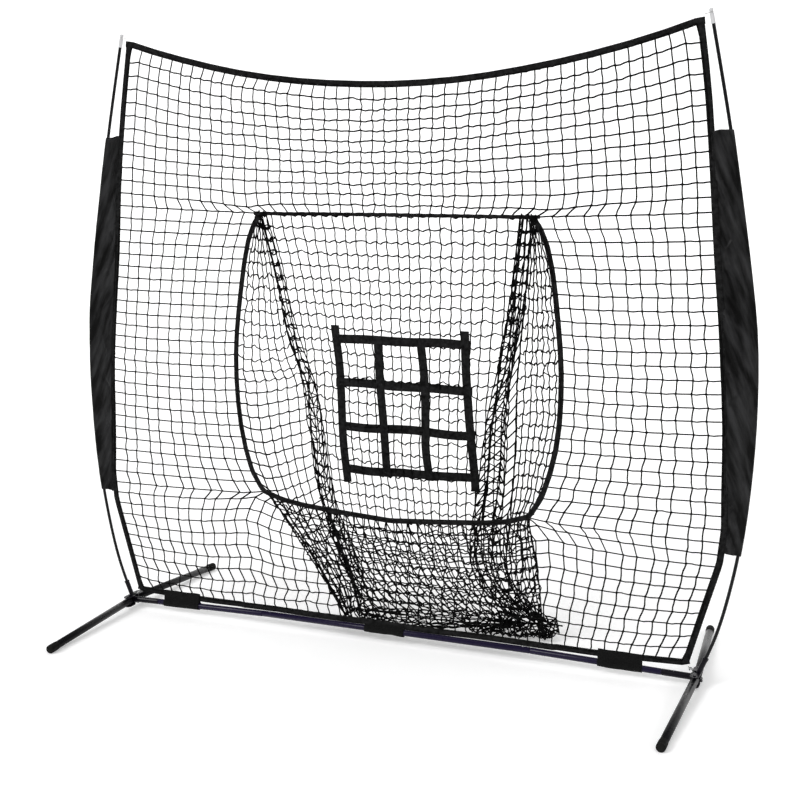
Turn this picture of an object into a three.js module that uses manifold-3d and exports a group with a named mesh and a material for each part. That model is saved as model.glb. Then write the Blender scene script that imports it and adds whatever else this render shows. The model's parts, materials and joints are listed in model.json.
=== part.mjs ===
// A pitching target net: a bow-framed sports net with a catch pocket and a nine-panel strike zone.
// Millimetres, +Z up. X runs along the base bar, +Y points away from the pitcher, and the origin is
// on the floor under the middle of the net. The net hangs in the plane y = 0.

import * as THREE from 'three';
import { mergeVertices } from 'three/addons/utils/BufferGeometryUtils.js';
import Module from 'manifold-3d';

const wasm = await Module();
wasm.setup();

// Driving dimensions
const GAP = 0.3; // running clearance between neighbouring pieces
const RIGHT = 1;
const LEFT = -1;

const HUB_X = 1072; // corner hub, where bar, legs and pole meet
const HUB_Z = 33;
const BAR_CENTRE_Z = 46; // the net's pull lifts the middle of the base bar
const BAR_CENTRE_HALF = 510;
const TUBE_R = 11;
const TUBE_BORE_R = 10.1;
const SPIGOT_R = 8.9; // necked end that plugs into the next tube
const SPIGOT_BORE_R = 7.5;
const SPIGOT_LENGTH = 50;
const STUB_PLUG_LENGTH = 70; // the part of a side tube that plugs into its corner
const STUB_END_X = 960;
const INNER_BUTTON_X = BAR_CENTRE_HALF - SPIGOT_LENGTH / 2;
const OUTER_BUTTON_X = 1000;
const BUTTON_R = 3.5;
const BUTTON_FOOT_R = 5;
const BUTTON_FOOT_Z = 4;
const BUTTON_FOOT_T = 1.2;
const BUTTON_PROUD = 3.3;

const LEG_SPAN = 1080; // overall depth, cap to cap
const LEG_PIVOT_Y = 38;
const LEG_TAIL = 16;
const LEG_R = 13.5;
const LEG_BORE_R = 12.1;
const LEG_TOE = { front: 10, rear: 40 }; // how far each foot stands inside its hub
const CAP_R = 15.2;
const CAP_LENGTH = 42;
const CAP_BORE_DEPTH = 36;
const FOOT_AXIS_Z = 13.8; // height of the leg's axis at its tip, so the cap is flattened on the floor

const YOKE_HALF_GAP = 15.3;
const PLATE_T = 3;
const PLATE_HALF_WIDTH = 15;
const WEB_INNER_Y = 10;
const WEB_OUTER_Y = 14;
const RIVET_R = 3;
const RIVET_HEAD_R = 5.6;
const RIVET_HEAD_T = 2.4;

const SOCKET_TILT = THREE.MathUtils.degToRad(22.5);
const SOCKET_R = 8.5;
const SOCKET_BORE_R = 6.4;
const SOCKET_LENGTH = 75;
const COLLAR_R = 9.8;
const COLLAR_LENGTH = 6;
const POLE_R = 5.5;
const POLE_START = 14; // the pole's foot stands this far up the socket, just above the hook pin
const POLE_END = [1040, 2116]; // the tip cap carries on to a height of 2134
const POLE_JOINT_SHARE = 0.47; // share of the pole's length in the lower section
const FERRULE_R = 7.4;
const FERRULE_BORE_R = 6.1;
const FERRULE_HALF = 45;
const TIP_LENGTH = 46;
const TIP_BORE_DEPTH = 28;
const TIP_R = 6.8;
const TIP_NECK_R = 4;
const TIP_NECK = [31, 36.5]; // the groove that holds the top loop, as heights on the tip

const HOOK_ON_SOCKET = 8;
const HOOK_TILT = THREE.MathUtils.degToRad(40);
const HOOK_WIRE_R = 1.6;
const HOOK_EYE_AT = 29;
const HOOK_EYE_R = 5;
const LOOP_WIRE_R = 1.2;

const HEM_WIDTH = 22;
const HEM_T = 3;
const HEM_STEPS = 18;
const TOP_CORNER_X = 1016.5;
const TOP_MIDDLE_Z = 1949;
const TOP_RISE = 165; // the top edge sags by this much between its corners
const TOP_HEM_FOOT_Z = 2092; // where the top hem's lower edge meets the net's sides
const HEM_BOTTOM_Z = 68; // at the net's corners
const HEM_END_X = 1043.5;
// Lower edge of the bottom hem, which the bar straps pull down, as [z, x] from the middle outwards
const HEM_FOOT_LINE = [[61.5, 0], [61.5, 485], [57.5, 745], [62, 895], [HEM_BOTTOM_Z, HEM_END_X]];
const NET_T = 1.8;
const NET_EDGE_GAP = 1.5; // the net panel stops this far short of the strips sewn round it

const SLEEVE_BOTTOM_Z = 455;
const SLEEVE_TOP_Z = 1775;
const SLEEVE_BORE_R = 8.4;
const SLEEVE_SKIN = 1.4;
const SLEEVE_FLAT = 1.6;
const SLEEVE_OPENING = THREE.MathUtils.degToRad(22); // where the round part gives way to the flat
const BINDING_WIDTH = 19;
const BINDING_T = 4;
const TOP_BINDING_WIDTH = 13;
const POCKET_T = 5;
const SEAM_GAP = POCKET_T + 2;
const POCKET_TOP_Z = 1486;
const POCKET_FLOOR_Z = 40;
const GUSSET_TOP_Z = 1380;
const GUSSET_BOTTOM_Z = 520;
const FRONT_TOP_HALF = 470;
const FRONT_TOP_Z = 449;
const FRONT_TOP_RISE = 37; // the front's top edge follows the mouth up to its corners
const FRONT_SAG = 14;
const FLOOR_SAG = 16;
const STRAP_T = 2;
const STRAP_WIDTH = 32;
const BAR_STRAP_R = 14.6;
const BAR_STRAP_BORE_R = 12.4;
const BAR_STRAP_TAB = 3.2; // thickness of the doubled tab that reaches up to the hem
const BAR_STRAPS = { left: [-930, -780], centre: [-100, 50], right: [745, 895] };
const WALL_CLEARANCE = 2.5; // between the pocket's wall and the strike zone

// The bow: middle line of the right-hand pole above its socket, as [x, z]
const POLE_LINE = [
  [1125, 168], [1149, 255], [1188, 459], [1210, 680], [1218, 920], [1209, 1150],
  [1180, 1366], [1148, 1560], [1110, 1776], [1075, 1950], POLE_END,
];
// Outer edge of the net's right-hand side hem, bottom to top, as [x, z]
const SIDE_LINE = [
  [HEM_END_X, HEM_BOTTOM_Z], [1155, 470], [1148, 653], [1136, 960], [1101, 1370], [1058, 1820],
  [1016.5, 2114],
];
// The mouth's right-hand edge from its top corner to the middle of its bottom, as [x, z]
const MOUTH_LINE = [
  [509, 1495], [555, 1372], [593, 1100], [600, 915], [588, 750], [550, 600], [500, 512],
  [380, 480], [240, 467], [0, 449],
];
const MOUTH_TOP_Z = 1508;
// The pocket's back wall at its middle, as [y, z] from the mouth's top down to the floor
const WALL_LINE = [[4, 1492], [22, 1400], [75, 1100], [127, 800], [192, 500], [250, 260], [278, 40]];
// The wall's left and right edges, as [x, y, z]: the bag trails off to the right on the floor
const LEFT_FOLD = [
  [-500, 8, 1492], [-479, 76, 1300], [-458, 134, 1000], [-424, 205, 700], [-396, 240, 500],
  [-322, 230, 260], [-235, 165, 40],
];
const RIGHT_FOLD = [
  [500, 8, 1492], [468, 76, 1300], [428, 134, 1000], [389, 210, 700], [372, 248, 500],
  [450, 268, 260], [555, 290, 40],
];
// Front edge of the bag's floor, under the mouth
const LEFT_FRONT_FOOT = [-225, 118, 40];
const RIGHT_FRONT_FOOT = [500, 205, 40];

const STRIKE_COLUMNS = [-245, -82, 82, 240];
const STRIKE_ROWS = [580, 745, 906, 1068];
const STRIKE_OVERRUN = 50; // the outer columns run on past the outer rows

// Materials
const finish = (color, roughness, metalness) => () =>
  new THREE.MeshStandardMaterial({ color, roughness, metalness });
const glossTube = finish(0x17151d, 0.28, 0.5);
const legTube = finish(0x2b2b2d, 0.38, 0.5);
const fibreglass = finish(0x101012, 0.35, 0);
const blackSteel = finish(0x121214, 0.4, 0.6);
const brightSteel = finish(0xc9cacc, 0.25, 1);
const rubber = finish(0x0b0b0b, 0.85, 0);
const paleTip = finish(0xd9dadb, 0.35, 0.1);
const paleCord = finish(0xe4e4e2, 0.8, 0);
const netting = finish(0x0c0c0d, 0.9, 0);
const webbing = finish(0x101011, 0.85, 0);
const sleeveCloth = finish(0x121213, 0.6, 0);

const target = new THREE.Group();

function addPiece(parent, name, geometry, material) {
  const mesh = new THREE.Mesh(geometry, material());
  mesh.name = name;
  parent.add(mesh);
  return mesh;
}

const sideName = (side) => (side === RIGHT ? 'right' : 'left');
const point = (x, y, z) => new THREE.Vector3(x, y, z);

// Boolean work: a closed geometry becomes a solid, and a solid becomes a geometry again.
function toSolid(geometry) {
  const bare = geometry.clone();
  bare.deleteAttribute('normal');
  bare.deleteAttribute('uv');
  const merged = mergeVertices(bare, 1e-4);
  const corners = merged.index.array;
  const kept = [];
  for (let i = 0; i < corners.length; i += 3) {
    const [a, b, c] = corners.slice(i, i + 3);
    if (a !== b && b !== c && c !== a) {
      kept.push(a, b, c);
    }
  }
  const mesh = new wasm.Mesh({
    numProp: 3,
    vertProperties: new Float32Array(merged.attributes.position.array),
    triVerts: new Uint32Array(kept),
  });
  return new wasm.Manifold(mesh);
}

function toGeometry(solid) {
  const mesh = solid.getMesh();
  const geometry = new THREE.BufferGeometry();
  geometry.setAttribute('position', new THREE.BufferAttribute(mesh.vertProperties, 3));
  geometry.setIndex(new THREE.BufferAttribute(mesh.triVerts, 1));
  geometry.computeVertexNormals();
  return geometry;
}

// A turned solid that stands on its start point and points at its end point.
function turned(profile, start, end, segments = 16) {
  const points = profile.map(([r, h]) => new THREE.Vector2(r, h));
  const geometry = new THREE.LatheGeometry(points, segments);
  const along = end.clone().sub(start).normalize();
  geometry.applyQuaternion(new THREE.Quaternion().setFromUnitVectors(point(0, 1, 0), along));
  geometry.translate(start.x, start.y, start.z);
  return geometry;
}

const rod = (start, end, radius, segments = 16) => {
  const length = start.distanceTo(end);
  return turned([[0, 0], [radius, 0], [radius, length], [0, length]], start, end, segments);
};

function boxBetween(low, high) {
  const size = high.clone().sub(low);
  const geometry = new THREE.BoxGeometry(size.x, size.y, size.z);
  const middle = low.clone().add(high).multiplyScalar(0.5);
  geometry.translate(middle.x, middle.y, middle.z);
  return geometry;
}

function roundSection(radius, boreRadius = 0) {
  const section = new THREE.Shape();
  section.absarc(0, 0, radius, 0, 2 * Math.PI, false);
  if (boreRadius > 0) {
    const bore = new THREE.Path();
    bore.absarc(0, 0, boreRadius, 0, 2 * Math.PI, true);
    section.holes.push(bore);
  }
  return section;
}

function swept(points, section, steps, closed = false, curveSegments = 4) {
  const path = new THREE.CatmullRomCurve3(points, closed, 'centripetal');
  return new THREE.ExtrudeGeometry(section, {
    steps,
    extrudePath: path,
    bevelEnabled: false,
    curveSegments,
  });
}

// A sheet of even thickness: surface(u, v) is its middle layer, with u and v from 0 to 1.
function thickSheet(surface, uSteps, vSteps, thickness) {
  const columns = uSteps + 1;
  const layer = columns * (vSteps + 1);
  const positions = new Float32Array(2 * layer * 3);
  const delta = 1e-4;
  for (let j = 0; j <= vSteps; j += 1) {
    for (let i = 0; i < columns; i += 1) {
      const u = i / uSteps;
      const v = j / vSteps;
      const du = surface(Math.min(u + delta, 1), v).sub(surface(Math.max(u - delta, 0), v));
      const dv = surface(u, Math.min(v + delta, 1)).sub(surface(u, Math.max(v - delta, 0)));
      const half = du.cross(dv).normalize().multiplyScalar(thickness / 2);
      const at = j * columns + i;
      surface(u, v).add(half).toArray(positions, at * 3);
      surface(u, v).sub(half).toArray(positions, (layer + at) * 3);
    }
  }
  const triangles = [];
  const quad = (a, b, c, d) => triangles.push(a, b, c, a, c, d);
  const front = (i, j) => j * columns + i;
  const back = (i, j) => layer + j * columns + i;
  for (let j = 0; j < vSteps; j += 1) {
    for (let i = 0; i < uSteps; i += 1) {
      quad(front(i, j), front(i + 1, j), front(i + 1, j + 1), front(i, j + 1));
      quad(back(i, j + 1), back(i + 1, j + 1), back(i + 1, j), back(i, j));
    }
    quad(front(0, j), front(0, j + 1), back(0, j + 1), back(0, j));
    quad(back(uSteps, j), back(uSteps, j + 1), front(uSteps, j + 1), front(uSteps, j));
  }
  for (let i = 0; i < uSteps; i += 1) {
    quad(back(i, 0), back(i + 1, 0), front(i + 1, 0), front(i, 0));
    quad(front(i, vSteps), front(i + 1, vSteps), back(i + 1, vSteps), back(i, vSteps));
  }
  const geometry = new THREE.BufferGeometry();
  geometry.setAttribute('position', new THREE.BufferAttribute(positions, 3));
  geometry.setIndex(triangles);
  geometry.computeVertexNormals();
  return geometry;
}

// Piecewise-linear reading of a list of [value, z] pairs at a height z
function valueAtHeight(line, z) {
  const rising = line[0][1] < line[line.length - 1][1] ? line : [...line].reverse();
  const last = rising.length - 1;
  let k = 1;
  while (k < last && rising[k][1] < z) {
    k += 1;
  }
  const [a, za] = rising[k - 1];
  const [b, zb] = rising[k];
  return a + ((b - a) * (z - za)) / (zb - za);
}

// Smooth lines, sampled once from their driving points
const smoothLine = (pairs, count) =>
  new THREE.SplineCurve(pairs.map(([a, b]) => new THREE.Vector2(a, b)))
    .getSpacedPoints(count)
    .map((p) => [p.x, p.y]);

const socketAxis = (side) => point(side * Math.sin(SOCKET_TILT), 0, Math.cos(SOCKET_TILT));
const hub = (side) => point(side * HUB_X, 0, HUB_Z);
const onSocket = (side, distance) => hub(side).addScaledVector(socketAxis(side), distance);

function polePoints(side) {
  const inSocket = [POLE_START, SOCKET_LENGTH / 2, SOCKET_LENGTH].map((t) => onSocket(side, t));
  return [...inSocket, ...POLE_LINE.map(([x, z]) => point(side * x, 0, z))];
}

const polePath = new THREE.CatmullRomCurve3(polePoints(RIGHT), false, 'centripetal');
const poleSamples = polePath.getSpacedPoints(120).map((p) => [p.x, p.z]);
const poleX = (z) => valueAtHeight(poleSamples, z);

const sideUpper = smoothLine(SIDE_LINE.slice(1), 40);
const sideSamples = [SIDE_LINE[0], ...sideUpper];
const sideX = (z) => valueAtHeight(sideSamples, z);
const topZ = (x) => TOP_MIDDLE_Z + TOP_RISE * (x / TOP_CORNER_X) ** 2;
const wallSamples = smoothLine(WALL_LINE, 60);
const wallY = (z) => valueAtHeight(wallSamples, z);

// Base bar: three tubes plugged together, with sprung snap buttons at the plugs
const barSlope = (HUB_Z - BAR_CENTRE_Z) / (HUB_X - INNER_BUTTON_X);
const barZ = (x) => {
  const out = Math.abs(x) - INNER_BUTTON_X;
  return BAR_CENTRE_Z + Math.max(0, out) * barSlope;
};
const onBar = (side, x) => point(side * x, 0, BAR_CENTRE_Z + (x - INNER_BUTTON_X) * barSlope);

const buttonHole = (x) =>
  toSolid(rod(point(x, 0, barZ(x)), point(x, 0, barZ(x) + 3 * TUBE_R), BUTTON_R + 0.5, 10));

function baseCentreTube() {
  const half = BAR_CENTRE_HALF;
  const ring = [[TUBE_BORE_R, 0], [TUBE_R, 0], [TUBE_R, 2 * half], [TUBE_BORE_R, 2 * half]];
  const tube = turned(
    [...ring, ring[0]],
    point(-half, 0, BAR_CENTRE_Z),
    point(half, 0, BAR_CENTRE_Z),
  );
  const holes = buttonHole(INNER_BUTTON_X).add(buttonHole(-INNER_BUTTON_X));
  return toGeometry(toSolid(tube).subtract(holes));
}

function baseSideTube(side) {
  const innerEnd = onBar(side, BAR_CENTRE_HALF - SPIGOT_LENGTH);
  const outerEnd = onBar(side, STUB_END_X + STUB_PLUG_LENGTH);
  const length = innerEnd.distanceTo(outerEnd);
  const firstShoulder = SPIGOT_LENGTH + 1;
  const lastShoulder = length - STUB_PLUG_LENGTH - 1;
  const profile = [
    [SPIGOT_BORE_R, 0], [SPIGOT_R, 0], [SPIGOT_R, firstShoulder], [TUBE_R, firstShoulder + 2],
    [TUBE_R, lastShoulder - 2], [SPIGOT_R, lastShoulder], [SPIGOT_R, length],
    [SPIGOT_BORE_R, length], [SPIGOT_BORE_R, 0],
  ];
  const holes = buttonHole(side * INNER_BUTTON_X).add(buttonHole(side * OUTER_BUTTON_X));
  return toGeometry(toSolid(turned(profile, innerEnd, outerEnd)).subtract(holes));
}

// A snap button: a domed pin with a broad foot that keeps it inside the tube
function snapButton() {
  const proud = TUBE_R + BUTTON_PROUD;
  const profile = [
    [0, BUTTON_FOOT_Z], [BUTTON_FOOT_R, BUTTON_FOOT_Z],
    [BUTTON_FOOT_R, BUTTON_FOOT_Z + BUTTON_FOOT_T], [BUTTON_R, BUTTON_FOOT_Z + BUTTON_FOOT_T],
    [BUTTON_R, proud - 1.4], [BUTTON_R - 1.1, proud - 0.3], [0, proud],
  ];
  const geometry = turned(profile, point(0, 0, 0), point(0, 0, 1), 10);
  return geometry;
}

addPiece(target, 'base_tube_centre', baseCentreTube(), glossTube);
for (const side of [LEFT, RIGHT]) {
  addPiece(target, `base_tube_${sideName(side)}`, baseSideTube(side), glossTube);
  for (const [place, x] of [['inner', INNER_BUTTON_X], ['outer', OUTER_BUTTON_X]]) {
    const name = `snap_button_${sideName(side)}_${place}`;
    const button = addPiece(target, name, snapButton(), brightSteel);
    button.position.set(side * x, 0, barZ(x));
  }
}

// Corner hub: bar stub, pole socket and a yoke for each leg, welded together
const hookCentre = (side) => onSocket(side, HOOK_ON_SOCKET);
const hookAlong = (side) => point(-side * Math.cos(HOOK_TILT), 0, Math.sin(HOOK_TILT));
const onHook = (side, along, across = 0) => {
  const base = hookCentre(side).addScaledVector(hookAlong(side), along);
  const down = point(-side * Math.sin(HOOK_TILT), 0, -Math.cos(HOOK_TILT));
  return base.addScaledVector(down, across);
};

function yokePlate(side, facing, z) {
  const outline = new THREE.Shape();
  outline.moveTo(-PLATE_HALF_WIDTH, WEB_INNER_Y);
  outline.lineTo(PLATE_HALF_WIDTH, WEB_INNER_Y);
  outline.lineTo(PLATE_HALF_WIDTH, LEG_PIVOT_Y);
  outline.absarc(0, LEG_PIVOT_Y, PLATE_HALF_WIDTH, 0, Math.PI, false);
  outline.lineTo(-PLATE_HALF_WIDTH, WEB_INNER_Y);
  const plate = new THREE.ExtrudeGeometry(outline, {
    depth: PLATE_T,
    bevelEnabled: false,
    curveSegments: 5,
  });
  plate.rotateZ(facing > 0 ? 0 : Math.PI);
  plate.translate(side * HUB_X, 0, z);
  return plate;
}

function cornerBracket(side) {
  const yokeLow = HUB_Z - YOKE_HALF_GAP - PLATE_T;
  const yokeHigh = HUB_Z + YOKE_HALF_GAP;
  const stubInner = onBar(side, STUB_END_X);
  const stubOuter = onBar(side, HUB_X + 8);
  let solid = toSolid(rod(stubInner, stubOuter, TUBE_R));
  solid = solid.add(toSolid(rod(hub(side), onSocket(side, SOCKET_LENGTH), SOCKET_R)));
  const collarFoot = onSocket(side, SOCKET_LENGTH - COLLAR_LENGTH);
  solid = solid.add(toSolid(rod(collarFoot, onSocket(side, SOCKET_LENGTH), COLLAR_R)));
  for (const facing of [-1, 1]) {
    const webLow = point(
      side * HUB_X - PLATE_HALF_WIDTH,
      Math.min(facing * WEB_INNER_Y, facing * WEB_OUTER_Y),
      yokeLow,
    );
    const webSize = point(
      2 * PLATE_HALF_WIDTH,
      WEB_OUTER_Y - WEB_INNER_Y,
      yokeHigh + PLATE_T - yokeLow,
    );
    solid = solid.add(toSolid(boxBetween(webLow, webLow.clone().add(webSize))));
    solid = solid.add(toSolid(yokePlate(side, facing, yokeLow)));
    solid = solid.add(toSolid(yokePlate(side, facing, yokeHigh)));
  }
  const boreEnd = onBar(side, HUB_X - 24);
  const beyondStub = onBar(side, STUB_END_X - 5);
  solid = solid.subtract(toSolid(rod(beyondStub, boreEnd, TUBE_BORE_R)));
  const socketBore = rod(onSocket(side, POLE_START - 2), onSocket(side, 100), SOCKET_BORE_R);
  solid = solid.subtract(toSolid(socketBore));
  const hookHole = rod(onHook(side, -26), onHook(side, 22), HOOK_WIRE_R + 0.5, 8);
  solid = solid.subtract(toSolid(hookHole));
  for (const facing of [-1, 1]) {
    const rivetX = side * HUB_X;
    const rivetHole = rod(
      point(rivetX, facing * LEG_PIVOT_Y, 0),
      point(rivetX, facing * LEG_PIVOT_Y, 100),
      RIVET_R + GAP,
      10,
    );
    solid = solid.subtract(toSolid(rivetHole));
  }
  return toGeometry(solid.subtract(buttonHole(side * OUTER_BUTTON_X)));
}

function rivet() {
  const half = YOKE_HALF_GAP + PLATE_T + GAP;
  const head = half + RIVET_HEAD_T;
  const profile = [
    [0, -head], [RIVET_HEAD_R - 1.6, -head], [RIVET_HEAD_R, -half - 0.8], [RIVET_HEAD_R, -half],
    [RIVET_R, -half], [RIVET_R, half], [RIVET_HEAD_R, half], [RIVET_HEAD_R, half + 0.8],
    [RIVET_HEAD_R - 1.6, head], [0, head],
  ];
  const geometry = turned(profile, point(0, 0, 0), point(0, 0, 1), 12);
  return geometry;
}

// Wire hook through the socket's foot: an eye for the net's corner inside, a bent end outside
function netHook(side) {
  const points = [onHook(side, -24, 8), onHook(side, -24.5, 4), onHook(side, -22, 0.8)];
  points.push(onHook(side, -18), onHook(side, 0), onHook(side, HOOK_EYE_AT - HOOK_EYE_R - 3));
  const turns = 9;
  for (let k = 0; k <= turns; k += 1) {
    const angle = Math.PI + (k / turns) * THREE.MathUtils.degToRad(295);
    const along = HOOK_EYE_AT + HOOK_EYE_R * Math.cos(angle);
    points.push(onHook(side, along, HOOK_EYE_R * Math.sin(angle)));
  }
  return swept(points, roundSection(HOOK_WIRE_R), 32, false, 3);
}

// A leg and its cap run from the pivot down to the floor
function legLine(side, facing) {
  const toe = facing < 0 ? LEG_TOE.front : LEG_TOE.rear;
  const pivot = point(side * HUB_X, facing * LEG_PIVOT_Y, HUB_Z);
  const run = LEG_SPAN / 2 - LEG_PIVOT_Y;
  const capReach = (CAP_R * toe) / run; // the cap's rim stands out this far because the leg toes in
  const foot = point(
    side * (HUB_X - toe),
    facing * (LEG_SPAN / 2 - capReach),
    FOOT_AXIS_Z,
  );
  const along = foot.clone().sub(pivot).normalize();
  return { pivot, foot, along };
}

function leg(side, facing) {
  const { pivot, foot, along } = legLine(side, facing);
  const start = pivot.clone().addScaledVector(along, -LEG_TAIL);
  const end = foot.clone().addScaledVector(along, CAP_BORE_DEPTH - CAP_LENGTH - GAP);
  const length = start.distanceTo(end);
  const ring = [[LEG_BORE_R, 0], [LEG_R, 0], [LEG_R, length], [LEG_BORE_R, length]];
  const tube = toSolid(turned([...ring, ring[0]], start, end));
  const hole = toSolid(
    rod(point(pivot.x, pivot.y, 0), point(pivot.x, pivot.y, 100), RIVET_R + GAP, 10),
  );
  return toGeometry(tube.subtract(hole));
}

function endCap(side, facing) {
  const { foot, along } = legLine(side, facing);
  const mouth = foot.clone().addScaledVector(along, -CAP_LENGTH);
  const bore = LEG_R + GAP;
  const profile = [
    [0, CAP_BORE_DEPTH], [bore, CAP_BORE_DEPTH], [bore, 0], [CAP_R - 0.8, 0], [CAP_R, 2],
    [CAP_R, CAP_LENGTH - 3], [CAP_R - 2.5, CAP_LENGTH], [0, CAP_LENGTH],
  ];
  const cap = toSolid(turned(profile, mouth, foot, 18));
  const below = boxBetween(
    point(foot.x - 100, foot.y - 100, -50),
    point(foot.x + 100, foot.y + 100, 0),
  );
  return toGeometry(cap.subtract(toSolid(below)));
}

for (const side of [LEFT, RIGHT]) {
  const name = sideName(side);
  addPiece(target, `corner_bracket_${name}`, cornerBracket(side), blackSteel);
  addPiece(target, `net_hook_${name}`, netHook(side), brightSteel);
  for (const [place, facing] of [['front', -1], ['rear', 1]]) {
    addPiece(target, `leg_${name}_${place}`, leg(side, facing), legTube);
    addPiece(target, `end_cap_${name}_${place}`, endCap(side, facing), rubber);
    const pin = addPiece(target, `leg_rivet_${name}_${place}`, rivet(), blackSteel);
    pin.position.set(side * HUB_X, facing * LEG_PIVOT_Y, HUB_Z);
  }
}

// Poles: two fibreglass sections joined by a steel ferrule, with a pale tip that holds the net
function poleSection(side, from, to) {
  const count = 24;
  const points = [];
  for (let k = 0; k <= count; k += 1) {
    const at = polePath.getPointAt(from + ((to - from) * k) / count);
    points.push(point(side * at.x, 0, at.z));
  }
  return points;
}

const poleLength = polePath.getLength();
const jointGap = 1 / poleLength;
const ferruleShare = FERRULE_HALF / poleLength;
const poleEnd = polePath.getPointAt(1);
const poleEndTangent = polePath.getTangentAt(1);

function poleTip() {
  const profile = [
    [0, TIP_BORE_DEPTH], [POLE_R + GAP, TIP_BORE_DEPTH], [POLE_R + GAP, 0], [TIP_R, 0],
    [TIP_R, TIP_NECK[0]], [TIP_NECK_R, TIP_NECK[0] + 1], [TIP_NECK_R, TIP_NECK[1]],
    [TIP_R - 0.4, TIP_NECK[1] + 1], [TIP_R - 0.4, TIP_LENGTH - 2], [TIP_R - 2, TIP_LENGTH],
    [2, TIP_LENGTH], [1.6, TIP_LENGTH - 4], [0, TIP_LENGTH - 4],
  ];
  return turned(profile, point(0, 0, 0), point(0, 0, 1), 12);
}

// An elastic loop lying flat in its own XY plane: a ring whose far half is drawn out along +X
function elasticLoop(roundR, farR, reach) {
  const geometry = new THREE.TorusGeometry(roundR, LOOP_WIRE_R, 6, 16);
  const position = geometry.attributes.position;
  const share = farR / roundR;
  for (let i = 0; i < position.count; i += 1) {
    if (position.getX(i) > LOOP_WIRE_R / 100) {
      position.setX(i, position.getX(i) * share + reach - farR);
      position.setY(i, position.getY(i) * share);
    }
  }
  return geometry;
}

for (const side of [LEFT, RIGHT]) {
  const name = sideName(side);
  const lower = poleSection(side, 0, POLE_JOINT_SHARE - jointGap);
  const upper = poleSection(side, POLE_JOINT_SHARE + jointGap, 1);
  const joint = poleSection(side, POLE_JOINT_SHARE - ferruleShare, POLE_JOINT_SHARE + ferruleShare);
  addPiece(target, `pole_lower_${name}`, swept(lower, roundSection(POLE_R), 14), fibreglass);
  addPiece(target, `pole_upper_${name}`, swept(upper, roundSection(POLE_R), 14), fibreglass);
  const ferruleSection = roundSection(FERRULE_R, FERRULE_BORE_R);
  addPiece(target, `pole_ferrule_${name}`, swept(joint, ferruleSection, 4), blackSteel);

  const lean = Math.atan2(poleEndTangent.x, poleEndTangent.z) * side;
  const tipGroup = new THREE.Group();
  const tipFoot = TIP_BORE_DEPTH - GAP;
  tipGroup.position.set(
    side * (poleEnd.x - poleEndTangent.x * tipFoot),
    0,
    poleEnd.z - poleEndTangent.z * tipFoot,
  );
  tipGroup.rotation.y = lean;
  addPiece(tipGroup, `pole_tip_${name}`, poleTip(), paleTip);
  const loopR = TIP_NECK_R + LOOP_WIRE_R + 0.5;
  const topLoop = addPiece(tipGroup, `corner_loop_top_${name}`, elasticLoop(loopR, 2.6, 20.2), paleCord);
  topLoop.position.z = (TIP_NECK[0] + TIP_NECK[1] + 1) / 2;
  topLoop.rotation.z = side === RIGHT ? Math.PI : 0;
  target.add(tipGroup);

  const eye = onHook(side, HOOK_EYE_AT);
  const bottomLoop = addPiece(
    target,
    `corner_loop_bottom_${name}`,
    elasticLoop(3.7, 3.3, 9.6),
    paleCord,
  );
  bottomLoop.position.copy(eye);
  bottomLoop.rotation.y = side === RIGHT ? Math.PI + HOOK_TILT : -HOOK_TILT;
  bottomLoop.translateX(2);
}

// Net hems: a webbing strip folded over each edge of the net
const topHem = (u, v) => {
  const x = (2 * u - 1) * (TOP_CORNER_X + (sideX(TOP_HEM_FOOT_Z) - TOP_CORNER_X) * v);
  return point(x, 0, topZ(x) - HEM_WIDTH * v);
};
const hemFootZ = (x) => valueAtHeight(HEM_FOOT_LINE, Math.min(Math.abs(x), HEM_END_X));
const bottomHem = (u, v) => {
  const x = (2 * u - 1) * sideX(HEM_BOTTOM_Z + HEM_WIDTH * v);
  return point(x, 0, hemFootZ(x) + HEM_WIDTH * v);
};
const sideHemZ = (u, inset) => {
  const low = HEM_BOTTOM_Z + HEM_WIDTH + GAP;
  const high = topZ(sideX(TOP_HEM_FOOT_Z) - inset) - HEM_WIDTH - GAP;
  return low + (high - low) * u;
};
const sideHem = (side) => (u, v) => {
  const inset = HEM_WIDTH * (side === RIGHT ? v : 1 - v);
  const z = sideHemZ(u, inset);
  return point(side * (sideX(z) - inset), 0, z);
};
addPiece(target, 'hem_top', thickSheet(topHem, HEM_STEPS, 1, HEM_T), webbing);
addPiece(target, 'hem_bottom', thickSheet(bottomHem, 2 * HEM_STEPS, 1, HEM_T), webbing);
addPiece(target, 'hem_left', thickSheet(sideHem(LEFT), HEM_STEPS, 1, HEM_T), webbing);
addPiece(target, 'hem_right', thickSheet(sideHem(RIGHT), HEM_STEPS, 1, HEM_T), webbing);

// Main net: a flat panel inside the hems, open at the mouth
const mouthSide = smoothLine(MOUTH_LINE, 18);

function offsetLine(line, distance) {
  return line.map(([x, z], k) => {
    const [xa, za] = line[Math.max(k - 1, 0)];
    const [xb, zb] = line[Math.min(k + 1, line.length - 1)];
    const length = Math.hypot(xb - xa, zb - za);
    return [x - ((zb - za) / length) * distance, z + ((xb - xa) / length) * distance];
  });
}

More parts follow.
